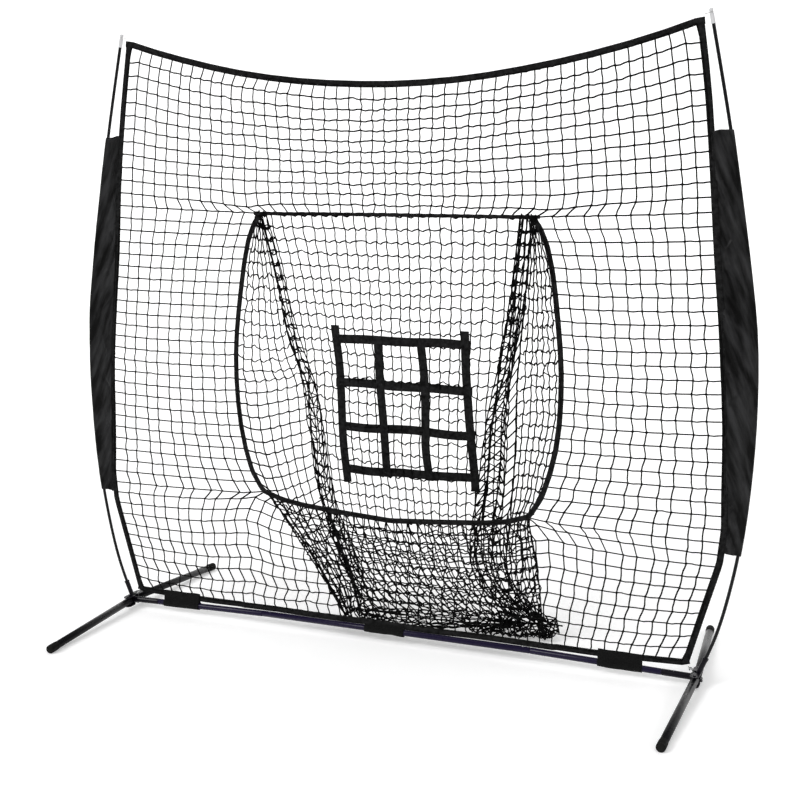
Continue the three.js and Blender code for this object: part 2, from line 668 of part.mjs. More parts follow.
function netPanel() {
  const inset = HEM_WIDTH + NET_EDGE_GAP;
  const outline = new THREE.Shape();
  const rightEdge = [];
  for (let k = 0; k <= HEM_STEPS; k += 1) {
    const low = HEM_BOTTOM_Z + inset;
    const high = sideHemZ(1, inset) - NET_EDGE_GAP;
    const z = THREE.MathUtils.clamp(sideHemZ(k / HEM_STEPS, HEM_WIDTH), low, high);
    rightEdge.push([sideX(z) - inset, z]);
  }
  const topEdge = [];
  for (let k = 1; k < HEM_STEPS; k += 1) {
    const x = rightEdge[HEM_STEPS][0] * (1 - (2 * k) / HEM_STEPS);
    topEdge.push([x, topZ(x) - inset]);
  }
  const leftEdge = [...rightEdge].reverse().map(([x, z]) => [-x, z]);
  const bottomEdge = [];
  for (let k = 1; k < 2 * HEM_STEPS; k += 1) {
    const x = rightEdge[0][0] * (k / HEM_STEPS - 1);
    bottomEdge.push([x, hemFootZ(x) + inset]);
  }
  const all = [...rightEdge, ...topEdge, ...leftEdge, ...bottomEdge];
  outline.setFromPoints(all.map(([x, z]) => new THREE.Vector2(x, z)));
  const rim = offsetLine(mouthSide, BINDING_WIDTH / 2 + NET_EDGE_GAP);
  const holeTop = MOUTH_TOP_Z + TOP_BINDING_WIDTH / 2 + NET_EDGE_GAP;
  const right = [[rim[0][0], holeTop], ...rim.slice(0, -1), [0, rim[rim.length - 1][1]]];
  const left = right.slice(0, -1).reverse().map(([x, z]) => [-x, z]);
  const hole = new THREE.Path();
  hole.setFromPoints([...right, ...left].map(([x, z]) => new THREE.Vector2(x, z)));
  outline.holes.push(hole);
  const panel = new THREE.ExtrudeGeometry(outline, { depth: NET_T, bevelEnabled: false });
  panel.rotateX(Math.PI / 2);
  panel.translate(0, NET_T / 2, 0);
  return panel;
}

addPiece(target, 'main_net', netPanel(), netting);

// Mouth binding: a straight strip along the top, and one strip round the sides and bottom
function rimBinding() {
  const line = [...mouthSide, ...mouthSide.slice(0, -1).reverse().map(([x, z]) => [-x, z])];
  const outer = offsetLine(line, BINDING_WIDTH / 2);
  const inner = offsetLine(line, -BINDING_WIDTH / 2);
  const strip = (u, v) => {
    const at = u * (line.length - 1);
    const k = Math.min(Math.floor(at), line.length - 2);
    const blend = ([a, b], [c, d], t) => [a + (c - a) * t, b + (d - b) * t];
    const [xo, zo] = blend(outer[k], outer[k + 1], at - k);
    const [xi, zi] = blend(inner[k], inner[k + 1], at - k);
    return point(xo + (xi - xo) * v, 0, zo + (zi - zo) * v);
  };
  return thickSheet(strip, line.length - 1, 1, BINDING_T);
}

const topBindingHalf = MOUTH_LINE[0][0] + BINDING_WIDTH / 2;
const topBinding = (u, v) =>
  point((2 * u - 1) * topBindingHalf, 0, MOUTH_TOP_Z + TOP_BINDING_WIDTH * (0.5 - v));
addPiece(target, 'mouth_binding_top', thickSheet(topBinding, 2, 1, BINDING_T), webbing);
addPiece(target, 'mouth_binding_rim', rimBinding(), webbing);

// Pocket: back wall, two gussets, a front below the mouth and a floor, held clear of each other
const foldAt = (fold, z) => {
  const x = valueAtHeight(fold.map(([fx, , fz]) => [fx, fz]), z);
  const y = valueAtHeight(fold.map(([, fy, fz]) => [fy, fz]), z);
  return point(x, y, z);
};

// The back wall is a shallow trough: it bulges towards the pitcher between its folds
const backWall = (u, v) => {
  const z = POCKET_TOP_Z + (POCKET_FLOOR_Z - POCKET_TOP_Z) * v;
  const left = foldAt(LEFT_FOLD, z);
  const right = foldAt(RIGHT_FOLD, z);
  const across = 2 * u - 1;
  const inset = SEAM_GAP * across;
  const edgeY = left.y + (right.y - left.y) * u;
  const bulge = (edgeY - wallY(z)) * (1 - across * across);
  return point(left.x + (right.x - left.x) * u - inset, edgeY - bulge, z);
};

const mouthEdge = mouthSide.filter(([, z]) => z > GUSSET_BOTTOM_Z - BINDING_WIDTH);
const mouthX = (z) => valueAtHeight(mouthEdge, z);
const gusset = (side) => (u, v) => {
  const z = GUSSET_BOTTOM_Z + (GUSSET_TOP_Z - GUSSET_BOTTOM_Z) * u;
  const near = point(side * (mouthX(z) - BINDING_WIDTH), BINDING_T / 2 + POCKET_T, z);
  const far = foldAt(side === RIGHT ? RIGHT_FOLD : LEFT_FOLD, z);
  far.x += side * 3;
  return near.lerp(far, side === RIGHT ? v : 1 - v);
};

const pocketFront = (u, v) => {
  const across = 2 * u - 1;
  const topZAcross = FRONT_TOP_Z + FRONT_TOP_RISE * across * across;
  const top = point(across * FRONT_TOP_HALF, BINDING_T / 2 + POCKET_T, topZAcross);
  const foot = point(...LEFT_FRONT_FOOT).lerp(point(...RIGHT_FRONT_FOOT), u);
  foot.z += SEAM_GAP;
  const sagged = top.lerp(foot, v);
  sagged.y += FRONT_SAG * Math.sin(Math.PI * v);
  return sagged;
};

const pocketFloor = (u, v) => {
  const front = point(...LEFT_FRONT_FOOT).lerp(point(...RIGHT_FRONT_FOOT), u);
  const back = foldAt(LEFT_FOLD, POCKET_FLOOR_Z).lerp(foldAt(RIGHT_FOLD, POCKET_FLOOR_Z), u);
  const floor = front.lerp(back, v);
  floor.z = POCKET_FLOOR_Z - SEAM_GAP - FLOOR_SAG * Math.sin(Math.PI * v);
  return floor;
};

const pocketPieces = [
  ['pocket_back', backWall, 8, 10],
  ['pocket_gusset_left', gusset(LEFT), 8, 2],
  ['pocket_gusset_right', gusset(RIGHT), 8, 2],
  ['pocket_front', pocketFront, 8, 4],
  ['pocket_floor', pocketFloor, 8, 4],
];
for (const [name, surface, uSteps, vSteps] of pocketPieces) {
  addPiece(target, name, thickSheet(surface, uSteps, vSteps, POCKET_T), netting);
}

// Strike zone: four webbing columns in front of four webbing rows, sewn to the back wall
const rowLayer = POCKET_T / 2 + STRAP_T / 2 + WALL_CLEARANCE;
const columnLayer = rowLayer + STRAP_T + 1;
const onWall = (x, z, layer) => {
  const u = (x - foldAt(LEFT_FOLD, z).x) / (foldAt(RIGHT_FOLD, z).x - foldAt(LEFT_FOLD, z).x);
  const v = (z - POCKET_TOP_Z) / (POCKET_FLOOR_Z - POCKET_TOP_Z);
  return point(x, backWall(u, v).y - layer, z);
};
const bottomRow = STRIKE_ROWS[0];
const topRow = STRIKE_ROWS[STRIKE_ROWS.length - 1];
STRIKE_COLUMNS.forEach((x, k) => {
  const outer = k === 0 || k === STRIKE_COLUMNS.length - 1;
  const overrun = outer ? STRIKE_OVERRUN : STRAP_WIDTH / 2;
  const strap = (u, v) => {
    const z = bottomRow - overrun + (topRow - bottomRow + 2 * overrun) * v;
    return onWall(x + STRAP_WIDTH * (u - 0.5), z, columnLayer);
  };
  addPiece(target, `strike_column_${k + 1}`, thickSheet(strap, 1, 6, STRAP_T), webbing);
});
STRIKE_ROWS.forEach((z, k) => {
  const left = STRIKE_COLUMNS[0] - STRAP_WIDTH / 2;
  const right = STRIKE_COLUMNS[STRIKE_COLUMNS.length - 1] + STRAP_WIDTH / 2;
  const strap = (u, v) => {
    const height = z + STRAP_WIDTH * (v - 0.5);
    return onWall(left + (right - left) * u, height, rowLayer);
  };
  addPiece(target, `strike_row_${k + 1}`, thickSheet(strap, 8, 1, STRAP_T), webbing);
});

// Sleeves: cloth sewn to the side hem and passed round the pole
// One level of the sleeve: round the pole, then flat and thin as far as the hem
function sleeveRing(side, z) {
  const radius = SLEEVE_BORE_R + SLEEVE_SKIN;
  const ring = [];
  const arcSteps = 8;
  for (let k = 0; k <= arcSteps; k += 1) {
    const turn = 2 * (Math.PI - SLEEVE_OPENING);
    const angle = -Math.PI + SLEEVE_OPENING + (k / arcSteps) * turn;
    ring.push([poleX(z) + radius * Math.cos(angle), radius * Math.sin(angle)]);
  }
  const hemX = sideX(z) + NET_EDGE_GAP;
  ring.push([hemX, SLEEVE_FLAT], [hemX, -SLEEVE_FLAT]);
  return ring.map(([x, y]) => point(side * x, side * y, z));
}

function sleeveBore(side, z) {
  const ring = [];
  for (let k = 0; k < 8; k += 1) {
    const angle = (k / 8) * 2 * Math.PI;
    const x = poleX(z) + SLEEVE_BORE_R * Math.cos(angle);
    ring.push(point(side * x, side * SLEEVE_BORE_R * Math.sin(angle), z));
  }
  return ring;
}

function sleeve(side) {
  const heights = [SLEEVE_BOTTOM_Z];
  for (let k = 0; k <= HEM_STEPS; k += 1) {
    const z = sideHemZ(k / HEM_STEPS, 0);
    if (z > SLEEVE_BOTTOM_Z + 10 && z < SLEEVE_TOP_Z - 10) {
      heights.push(z);
    }
  }
  heights.push(SLEEVE_TOP_Z);
  const outer = loft(heights.map((z) => sleeveRing(side, z)));
  const tunnel = loft([
    sleeveBore(side, SLEEVE_BOTTOM_Z - 5),
    ...heights.slice(1, -1).map((z) => sleeveBore(side, z)),
    sleeveBore(side, SLEEVE_TOP_Z + 5),
  ]);
  return toGeometry(toSolid(outer).subtract(toSolid(tunnel)));
}

// A closed skin through rings of equal count, each running the same way round, bottom to top
function loft(rings) {
  const count = rings[0].length;
  const positions = [];
  for (const ring of rings) {
    for (const p of ring) {
      positions.push(p.x, p.y, p.z);
    }
  }
  const triangles = [];
  for (let j = 0; j < rings.length - 1; j += 1) {
    for (let i = 0; i < count; i += 1) {
      const a = j * count + i;
      const b = j * count + ((i + 1) % count);
      triangles.push(a, b, b + count, a, b + count, a + count);
    }
  }
  const flat = rings[0].map((p) => new THREE.Vector2(p.x, p.y));
  const lastRing = (rings.length - 1) * count;
  for (const [a, b, c] of THREE.ShapeUtils.triangulateShape(flat, [])) {
    triangles.push(a, c, b);
    triangles.push(lastRing + a, lastRing + b, lastRing + c);
  }
  const geometry = new THREE.BufferGeometry();
  geometry.setAttribute('position', new THREE.Float32BufferAttribute(positions, 3));
  geometry.setIndex(triangles);
  return geometry;
}

for (const side of [LEFT, RIGHT]) {
  addPiece(target, `pole_sleeve_${sideName(side)}`, sleeve(side), sleeveCloth);
}

// Bar straps: hook-and-loop bands that hold the bottom hem down to the bar
function barStrap(from, to) {
  const foot = Math.min(hemFootZ(from) - barZ(from), hemFootZ(to) - barZ(to));
  const reach = foot - 2 * GAP;
  const halfTab = BAR_STRAP_TAB / 2;
  const start = Math.acos(halfTab / BAR_STRAP_R);
  const outline = new THREE.Shape();
  outline.moveTo(-halfTab, reach);
  outline.lineTo(-halfTab, BAR_STRAP_R * Math.sin(start));
  outline.absarc(0, 0, BAR_STRAP_R, Math.PI - start, 2 * Math.PI + start, false);
  outline.lineTo(halfTab, reach);
  const bore = new THREE.Path();
  bore.absarc(0, 0, BAR_STRAP_BORE_R, 0, 2 * Math.PI, true);
  outline.holes.push(bore);
  const a = point(from, 0, barZ(from));
  const b = point(to, 0, barZ(to));
  const geometry = new THREE.ExtrudeGeometry(outline, {
    depth: a.distanceTo(b),
    bevelEnabled: false,
    curveSegments: 6,
  });
  const along = b.clone().sub(a).normalize();
  const across = point(0, 1, 0);
  const up = along.clone().cross(across);
  geometry.applyMatrix4(new THREE.Matrix4().makeBasis(across, up, along));
  geometry.translate(a.x, a.y, a.z);
  return geometry;
}

for (const [name, [from, to]] of Object.entries(BAR_STRAPS)) {
  addPiece(target, `bar_strap_${name}`, barStrap(from, to), webbing);
}

export default target;
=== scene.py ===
"""A pitching target net on a pale studio floor: knotted netting, webbing, nylon sleeves and steel tube
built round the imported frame. Metres, +Z up, +Y away from the pitcher."""

import json
import math

import bpy
import numpy as np
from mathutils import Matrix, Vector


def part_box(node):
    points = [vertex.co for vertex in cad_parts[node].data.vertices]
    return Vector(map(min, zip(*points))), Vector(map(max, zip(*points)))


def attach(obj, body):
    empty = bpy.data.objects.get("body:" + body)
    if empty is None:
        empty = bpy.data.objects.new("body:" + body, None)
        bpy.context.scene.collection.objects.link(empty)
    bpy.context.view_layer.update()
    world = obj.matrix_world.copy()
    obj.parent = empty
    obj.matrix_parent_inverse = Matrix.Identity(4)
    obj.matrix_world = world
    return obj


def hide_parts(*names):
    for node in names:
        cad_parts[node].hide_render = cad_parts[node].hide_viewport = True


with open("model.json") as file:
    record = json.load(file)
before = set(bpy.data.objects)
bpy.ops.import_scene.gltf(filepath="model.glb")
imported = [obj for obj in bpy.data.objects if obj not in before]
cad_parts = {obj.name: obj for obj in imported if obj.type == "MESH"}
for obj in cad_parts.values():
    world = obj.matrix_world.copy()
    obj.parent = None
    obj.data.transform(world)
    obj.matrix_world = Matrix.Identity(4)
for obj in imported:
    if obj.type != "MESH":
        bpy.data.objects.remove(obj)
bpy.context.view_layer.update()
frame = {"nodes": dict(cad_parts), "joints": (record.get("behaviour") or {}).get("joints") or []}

SIDES = {"left": -1.0, "right": 1.0}
ENDS = {"front": -1.0, "rear": 1.0}
JOINTS = {joint["name"]: joint for joint in frame["joints"]}
RIGHT = np.array([1.0, 0.0, 0.0])
UP = np.array([0.0, 0.0, 1.0])
OFF_AXIS = np.array([0.31, 0.87, 0.38])  # a direction that no strand or tube runs along
SEED = 7

# Netting
MESH = 0.0444  # knot to knot, a 1.75 inch baseball mesh
STRAND_LENGTH = MESH * 1.06  # twine between two knots, with its slack
TWINE_R = 0.0028
KNOT_GROWTH = 1.3  # a knot is this many times as thick as the twine
ROW_DROOP = 1.4  # how much a row's slack twine favours hanging down over any other way
MAIN_COLUMNS, MAIN_ROWS = 47, 46
MOUTH_CELLS = {"left": 11, "right": 36, "bottom": 10, "top": 34}  # the mouth's edges, in mesh cells
MOUTH_ROWS_Z = (0.49, 1.53)  # where the side hems hold the rows of the mouth's bottom and top
BOTTOM_CORNER_X = 0.50  # where the mouth's sides turn into its bottom

# The pocket: a wrap of gusset, back wall and gusset, then a front that turns into a floor
GUSSET_COLUMNS = 7
BACK_COLUMNS = 25
PLEATS = {"left": 4, "right": 8}  # columns bunched where the back wall meets a gusset
PLEAT_WIDTHS = {"left": 0.12, "right": 0.22}
POCKET_ROWS = 34
MOUTH_SIDE_ROWS = 24  # the wrap's rows that end at the mouth's sides; those below end at the front
FRONT_ROWS = 12
FLOOR_ROWS = 6
FRONT_BULGE = 0.03
FOOT_Z = 0.038  # height of the turn from front to floor
FOLD_SIZE = np.array([0.012, 0.016, 0.012])

# Tubes
LEG_R = 0.0135
CAP_R = 0.0151
BAR_R = 0.011
SPIGOT_R = 0.0089
ROD_R = 0.0055
FERRULE_R = 0.0073


def add_object(name, data):
    thing = bpy.data.objects.new(name, data)
    bpy.context.scene.collection.objects.link(thing)
    return thing


# -------- camera, light and floor

def make_camera():
    tilt_down, turn = 9.82, 22.04
    data = bpy.data.cameras.new("camera")
    data.lens = 59.7
    data.sensor_width = 36.0
    data.clip_end = 100.0
    camera = add_object("camera", data)
    camera.location = (1.716, -4.156, 1.656)
    camera.rotation_euler = (math.radians(90.0 - tilt_down), 0.0, math.radians(turn))
    bpy.context.scene.camera = camera


def make_sun(name, bearing, height, spread, strength):
    """A broad soft light: bearing is where it stands, in degrees right of the viewer's line of sight."""
    data = bpy.data.lights.new(name, "SUN")
    data.angle = math.radians(spread)
    data.energy = strength
    add_object(name, data).rotation_euler = (math.radians(90.0 - height), 0.0, math.radians(bearing))


def make_studio():
    glow = 0.28  # the world's light, and the floor's own, which brings it to white
    world = bpy.data.worlds.new("studio")
    bpy.context.scene.world = world
    world.use_nodes = True
    background = world.node_tree.nodes["Background"]
    background.inputs["Color"].default_value = (1, 1, 1, 1)
    background.inputs["Strength"].default_value = glow
    make_sun("key", -35.0, 36.0, 24.0, 1.6)
    make_sun("fill", 62.0, 26.0, 18.0, 0.6)
    make_sun("top", 10.0, 80.0, 40.0, 0.4)
    bpy.context.scene.view_settings.view_transform = "Standard"

    # One pale sheet: a floor that sweeps up into a wall behind the net
    half, bend_y, bend_r, wall_z = 14.0, 6.0, 3.0, 14.0
    profile = [(-half, 0.0), (bend_y, 0.0)]
    for a in np.linspace(0.1, math.pi / 2, 16):
        profile.append((bend_y + bend_r * math.sin(a), bend_r * (1 - math.cos(a))))
    profile.append((bend_y + bend_r, wall_z))
    corners = [(x, y, z) for y, z in profile for x in (-half, half)]
    faces = [(2 * k, 2 * k + 1, 2 * k + 3, 2 * k + 2) for k in range(len(profile) - 1)]
    mesh = bpy.data.meshes.new("studio_floor")
    mesh.from_pydata(corners, [], faces)
    mesh.polygons.foreach_set("use_smooth", [True] * len(faces))
    material = bpy.data.materials.new("studio_floor")
    material.use_nodes = True
    shader = material.node_tree.nodes["Principled BSDF"]
    shader.inputs["Base Color"].default_value = (0.93, 0.93, 0.93, 1)
    shader.inputs["Roughness"].default_value = 0.9
    shader.inputs["Specular IOR Level"].default_value = 0.1
    shader.inputs["Emission Color"].default_value = (1, 1, 1, 1)
    shader.inputs["Emission Strength"].default_value = glow
    mesh.materials.append(material)
    add_object("studio_floor", mesh)


make_camera()
make_studio()


# -------- materials

def grey(value):
    return (value, value, value)


def new_material(name, color, roughness, metallic=0.0, coat=0.0, sheen=0.0, specular=0.5):
    material = bpy.data.materials.new(name)
    material.use_nodes = True
    shader = material.node_tree.nodes["Principled BSDF"]
    shader.inputs["Base Color"].default_value = (*color, 1)
    shader.inputs["Roughness"].default_value = roughness
    shader.inputs["Metallic"].default_value = metallic
    shader.inputs["Coat Weight"].default_value = coat
    shader.inputs["Coat Roughness"].default_value = 0.12
    shader.inputs["Sheen Weight"].default_value = sheen
    shader.inputs["Specular IOR Level"].default_value = specular
    return material, material.node_tree, shader


def add_node(tree, kind, **values):
    node = tree.nodes.new(kind)
    for key, value in values.items():
        if key in node.inputs:
            node.inputs[key].default_value = value
        else:
            setattr(node, key, value)
    return node


def noise_at(tree, scale, detail=4.0, stretch=None, turn=(0.0, 0.0, 0.0)):
    """Noise in the object's own metres, so it rides with the piece. It can be drawn out along one
    axis, and that axis turned."""
    vector = add_node(tree, "ShaderNodeTexCoord").outputs["Object"]
    if stretch:
        mapping = add_node(tree, "ShaderNodeMapping", vector_type="TEXTURE")
        mapping.inputs["Rotation"].default_value = turn
        mapping.inputs["Scale"].default_value = [1.0 / s for s in stretch]
        tree.links.new(vector, mapping.inputs["Vector"])
        vector = mapping.outputs["Vector"]
    noise = add_node(tree, "ShaderNodeTexNoise", Scale=scale, Detail=detail)
    tree.links.new(vector, noise.inputs["Vector"])
    return noise.outputs["Fac"]


def tint(tree, shader, source, low, high, start=0.3, stop=0.7):
    """Colours a surface between two shades, as a noise runs from start to stop."""
    ramp = add_node(tree, "ShaderNodeValToRGB")
    for element, place, color in zip(ramp.color_ramp.elements, (start, stop), (low, high)):
        element.position = place
        element.color = (*color, 1)
    tree.links.new(source, ramp.inputs["Fac"])
    tree.links.new(ramp.outputs["Color"], shader.inputs["Base Color"])


def vary_roughness(tree, shader, source, low, high):
    span = add_node(tree, "ShaderNodeMapRange")
    span.inputs["To Min"].default_value = low
    span.inputs["To Max"].default_value = high
    tree.links.new(source, span.inputs["Value"])
    tree.links.new(span.outputs["Result"], shader.inputs["Roughness"])


def bump(tree, shader, source, distance, strength=0.6):
    node = add_node(tree, "ShaderNodeBump", Strength=strength, Distance=distance)
    tree.links.new(source, node.inputs["Height"])
    tree.links.new(node.outputs["Normal"], shader.inputs["Normal"])


def weave_height(tree, pitch):
    """Threads over and under: two crossed sets of waves along the object's axes."""
    place = add_node(tree, "ShaderNodeTexCoord")
    both = add_node(tree, "ShaderNodeMath", operation="MULTIPLY")
    for slot, direction in enumerate(("X", "Z")):
        wave = add_node(tree, "ShaderNodeTexWave", Scale=1.0 / (pitch * 20.0), Distortion=0.4)
        wave.bands_direction = direction
        tree.links.new(place.outputs["Object"], wave.inputs["Vector"])
        tree.links.new(wave.outputs["Fac"], both.inputs[slot])
    return both.outputs["Value"]


def twine_material():
    material, tree, shader = new_material("twine", grey(0.003), 0.7, specular=0.04)
    tint(tree, shader, noise_at(tree, 60.0), grey(0.001), grey(0.006))
    bump(tree, shader, noise_at(tree, 900.0, 2.0), 0.0006)
    return material


def webbing_material(name, pitch, base):
    material, tree, shader = new_material(name, grey(base), 0.65, specular=0.07)
    # the weave's tone varies at random; its pale end is also painted highlight, standing in for the sheen
    # along the strip
    pale = (base * 3.6, base * 3.6, base * 3.7)
    tint(tree, shader, noise_at(tree, 75.0), grey(base * 0.3), pale)
    bump(tree, shader, weave_height(tree, pitch), 0.0007, 0.8)
    return material


def fuzzy_material():
    material, tree, shader = new_material("hook_and_loop", grey(0.006), 0.95, sheen=0.03, specular=0.05)
    tint(tree, shader, noise_at(tree, 420.0, 6.0), grey(0.001), grey(0.014))
    bump(tree, shader, noise_at(tree, 700.0, 6.0), 0.0015, 1.0)
    return material


def nylon_material(name, lean):
    """Coated cloth, with painted shade and highlight of creases in its colour: dark and pale streaks that
    lean by an angle from upright.
    """
    material, tree, shader = new_material(name, grey(0.009), 0.33, specular=0.1)
    # painted crease shade and highlight: a drawn-out slanting noise makes the cloth's colour darker and
    # paler in streaks
    folds = noise_at(tree, 38.0, 4.0, (1.0, 1.0, 0.16), (0.0, math.radians(lean), 0.0))
    tint(tree, shader, folds, grey(0.0015), (0.026, 0.026, 0.027), 0.4, 0.66)
    vary_roughness(tree, shader, noise_at(tree, 30.0), 0.28, 0.42)
    bump(tree, shader, weave_height(tree, 0.0011), 0.0004, 0.5)
    return material


def tube_material(name, color, roughness, coat):
    material, tree, shader = new_material(name, color, roughness, 0.0, coat, specular=0.13)
    vary_roughness(tree, shader, noise_at(tree, 45.0, 6.0), roughness * 0.8, roughness * 1.3)
    bump(tree, shader, noise_at(tree, 320.0, 3.0), 0.0003, 0.25)
    return material


def steel_material(name, color, metallic):
    material, tree, shader = new_material(name, color, 0.25, metallic)
    vary_roughness(tree, shader, noise_at(tree, 160.0, 5.0), 0.18, 0.4)
    bump(tree, shader, noise_at(tree, 500.0, 3.0, (1, 1, 0.1)), 0.0002, 0.3)
    return material


def rubber_material():
    material, tree, shader = new_material("rubber", grey(0.006), 0.75, specular=0.1)
    tint(tree, shader, noise_at(tree, 70.0), grey(0.003), (0.01, 0.01, 0.009))
    bump(tree, shader, noise_at(tree, 600.0, 4.0), 0.0006, 0.5)
    return material


def pale_material(name, color, roughness, sheen=0.0):
    material, tree, shader = new_material(name, color, roughness, sheen=sheen)
    tint(tree, shader, noise_at(tree, 80.0), tuple(c * 0.93 for c in color), color)
    bump(tree, shader, noise_at(tree, 700.0, 3.0), 0.0003, 0.4)
    return material


TWINE = twine_material()
WEBBING = webbing_material("webbing", 0.0016, 0.004)
THREAD = webbing_material("stitching", 0.0008, 0.007)
FUZZY = fuzzy_material()
NYLON = {"left": nylon_material("nylon_left", 22.0), "right": nylon_material("nylon_right", -22.0)}
BAR_PAINT = tube_material("bar_paint", (0.008, 0.005, 0.024), 0.26, 0.1)
LEG_PAINT = tube_material("leg_paint", (0.004, 0.004, 0.005), 0.27, 0.03)
BLACK_STEEL = tube_material("black_steel", (0.004, 0.003, 0.006), 0.27, 0.04)
FIBREGLASS = tube_material("fibreglass", (0.005, 0.005, 0.006), 0.3, 0.08)
STEEL = steel_material("bright_steel", (0.66, 0.67, 0.69), 1.0)
HOOK_STEEL = steel_material("grey_steel", (0.09, 0.09, 0.095), 0.6)
RUBBER = rubber_material()
PALE_PLASTIC = pale_material("pale_plastic", (0.66, 0.66, 0.67), 0.35)
PALE_CORD = pale_material("pale_cord", (0.55, 0.55, 0.54), 0.85, 0.2)


# -------- meshes

def unit(vectors):
    length = np.linalg.norm(vectors, axis=-1, keepdims=True)
    return vectors / np.maximum(length, 1e-12)


def spokes(axis, sides, off=OFF_AXIS):
    """Unit spokes of a circle square to an axis, or to each of a row of axes."""
    one = unit(np.cross(axis, off))
    two = np.cross(axis, one)
    angle = np.linspace(0, 2 * np.pi, sides, endpoint=False)[:, None]
    return np.cos(angle) * one[..., None, :] + np.sin(angle) * two[..., None, :]


class Builder:
    """Gathers the skins of one piece."""

    def __init__(self):
        self.points = []
        self.faces = []
        self.count = 0

    def rings(self, rings, joined=False, capped=True):
        """Skins a stack of equal rings and caps its ends; joined makes the last ring meet the first."""
        rings = np.asarray(rings, float)
        levels, sides = rings.shape[:2]
        j, i = np.meshgrid(np.arange(levels if joined else levels - 1), np.arange(sides), indexing="ij")
        here, above = j * sides, ((j + 1) % levels) * sides
        after = (i + 1) % sides
        quads = np.stack([here + i, here + after, above + after, above + i], -1).reshape(-1, 4)
        self.points.append(rings.reshape(-1, 3))
        self.faces.extend((quads + self.count).tolist())
        if capped and not joined:
            last = self.count + (levels - 1) * sides
            self.faces.append([self.count + k for k in range(sides - 1, -1, -1)])
            self.faces.append([last + k for k in range(sides)])
        self.count += levels * sides

    def tube(self, path, radius, sides=4):
        path = np.asarray(path, float)
        tangent = unit(np.gradient(path, axis=0))
        radius = np.broadcast_to(radius, len(path))
        self.rings(path[:, None] + spokes(tangent, sides) * radius[:, None, None])

    def turned(self, start, end, profile, sides=40):
        """Turns a closed outline of (radius, distance) pairs, which stays off the axis, about the line
        from start towards end."""
        start = np.asarray(start, float)
        axis = unit(np.asarray(end, float) - start)
        circle = spokes(axis, sides)
        self.rings([start + axis * along + circle * radius for radius, along in profile], joined=True)

    def make(self, name, material, body="frame", replaced=()):
        """Makes one piece of the gathered skins, in place of the CAD nodes that it stands for."""
        mesh = bpy.data.meshes.new(name)
        mesh.from_pydata(np.concatenate(self.points).tolist(), [], self.faces)
        mesh.validate()
        mesh.polygons.foreach_set("use_smooth", [True] * len(mesh.polygons))
        mesh.materials.append(material)
        mesh.update()
        piece = add_object(name, mesh)
        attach(piece, body)
        if replaced:
            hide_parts(*replaced)
        return piece


# -------- reading the frame

def reach(node, origin, direction):
    """How near and how far a CAD node's solid lies from a point of the net's plane along a direction
    of that plane, both given as (x, z)."""
    mesh = frame["nodes"][node].data
    points = np.empty(len(mesh.vertices) * 3)
    mesh.vertices.foreach_get("co", points)
    points = points.reshape(-1, 3)[:, [0, 2]] - np.array(origin)
    pairs = np.empty(len(mesh.edges) * 2, int)
    mesh.edges.foreach_get("vertices", pairs)
    pairs = pairs.reshape(-1, 2)
    direction = unit(np.array(direction, float))
    side = points @ np.array([-direction[1], direction[0]])
    along = points @ direction
    a, b = pairs[:, 0], pairs[:, 1]
    crossing = (side[a] > 0) != (side[b] > 0)
    a, b = a[crossing], b[crossing]
    share = side[a] / (side[a] - side[b])
    hit = along[a] + (along[b] - along[a]) * share
    hit = hit[hit > 0]
    return float(hit.min()), float(hit.max())


def depth(node, x, z):
    """The y of a CAD node's near face at (x, z), or None beside it."""
    hit, place, _, _ = frame["nodes"][node].ray_cast((x, -1.0, z), (0.0, 1.0, 0.0))
    return place.y if hit else None


def path_marks(path):
    """The distance of each of a path's points from its start."""
    step = np.linalg.norm(np.diff(path, axis=0), axis=1)
    return np.concatenate([[0.0], np.cumsum(step)])


def sample(want, marks, values):
    """Values along a path, read between its marks."""
    return np.stack([np.interp(want, marks, values[:, k]) for k in range(values.shape[1])], 1)


def resample(path, count):
    """count + 1 points, evenly spaced along a path."""
    path = np.asarray(path, float)
    marks = path_marks(path)
    return sample(np.linspace(0, marks[-1], count + 1), marks, path)


def spline_weights(t):
    """A cubic spline's four weights at each of a row of places."""
    f = t - np.floor(t)
    parts = [(1 - f) ** 3, 3 * f**3 - 6 * f**2 + 4, -3 * f**3 + 3 * f**2 + 3 * f + 1, f**3]
    return np.stack(parts, 1) / 6


def smooth_noise(rng, shape, cells, dims=3):
    """Gentle random fields over a grid, each value between about -1 and 1."""
    rows, columns = shape
    coarse = rng.standard_normal((cells[0] + 3, cells[1] + 3, dims))
    v = np.linspace(0, cells[0] - 1e-6, rows)
    u = np.linspace(0, cells[1] - 1e-6, columns)
    wv, wu = spline_weights(v), spline_weights(u)
    iv, iu = np.floor(v).astype(int), np.floor(u).astype(int)
    field = np.zeros((rows, columns, dims))
    for a in range(4):
        for b in range(4):
            near = coarse[(iv + a)[:, None], (iu + b)[None, :]]
            field += wv[:, a, None, None] * wu[None, :, b, None] * near
    return field * 1.6


# -------- netting

def shorten(points, weight, first, second, limit):
    """One pass that pulls knots together wherever the twine between them is longer than its length."""
    gap = points[second] - points[first]
    length = np.linalg.norm(gap, axis=-1, keepdims=True)
    free = weight[first] + weight[second]
    over = np.maximum(length - limit, 0.0) / np.maximum(length, 1e-9) / np.maximum(free, 1e-9)
    points[first] += weight[first] * over * gap
    points[second] -= weight[second] * over * gap


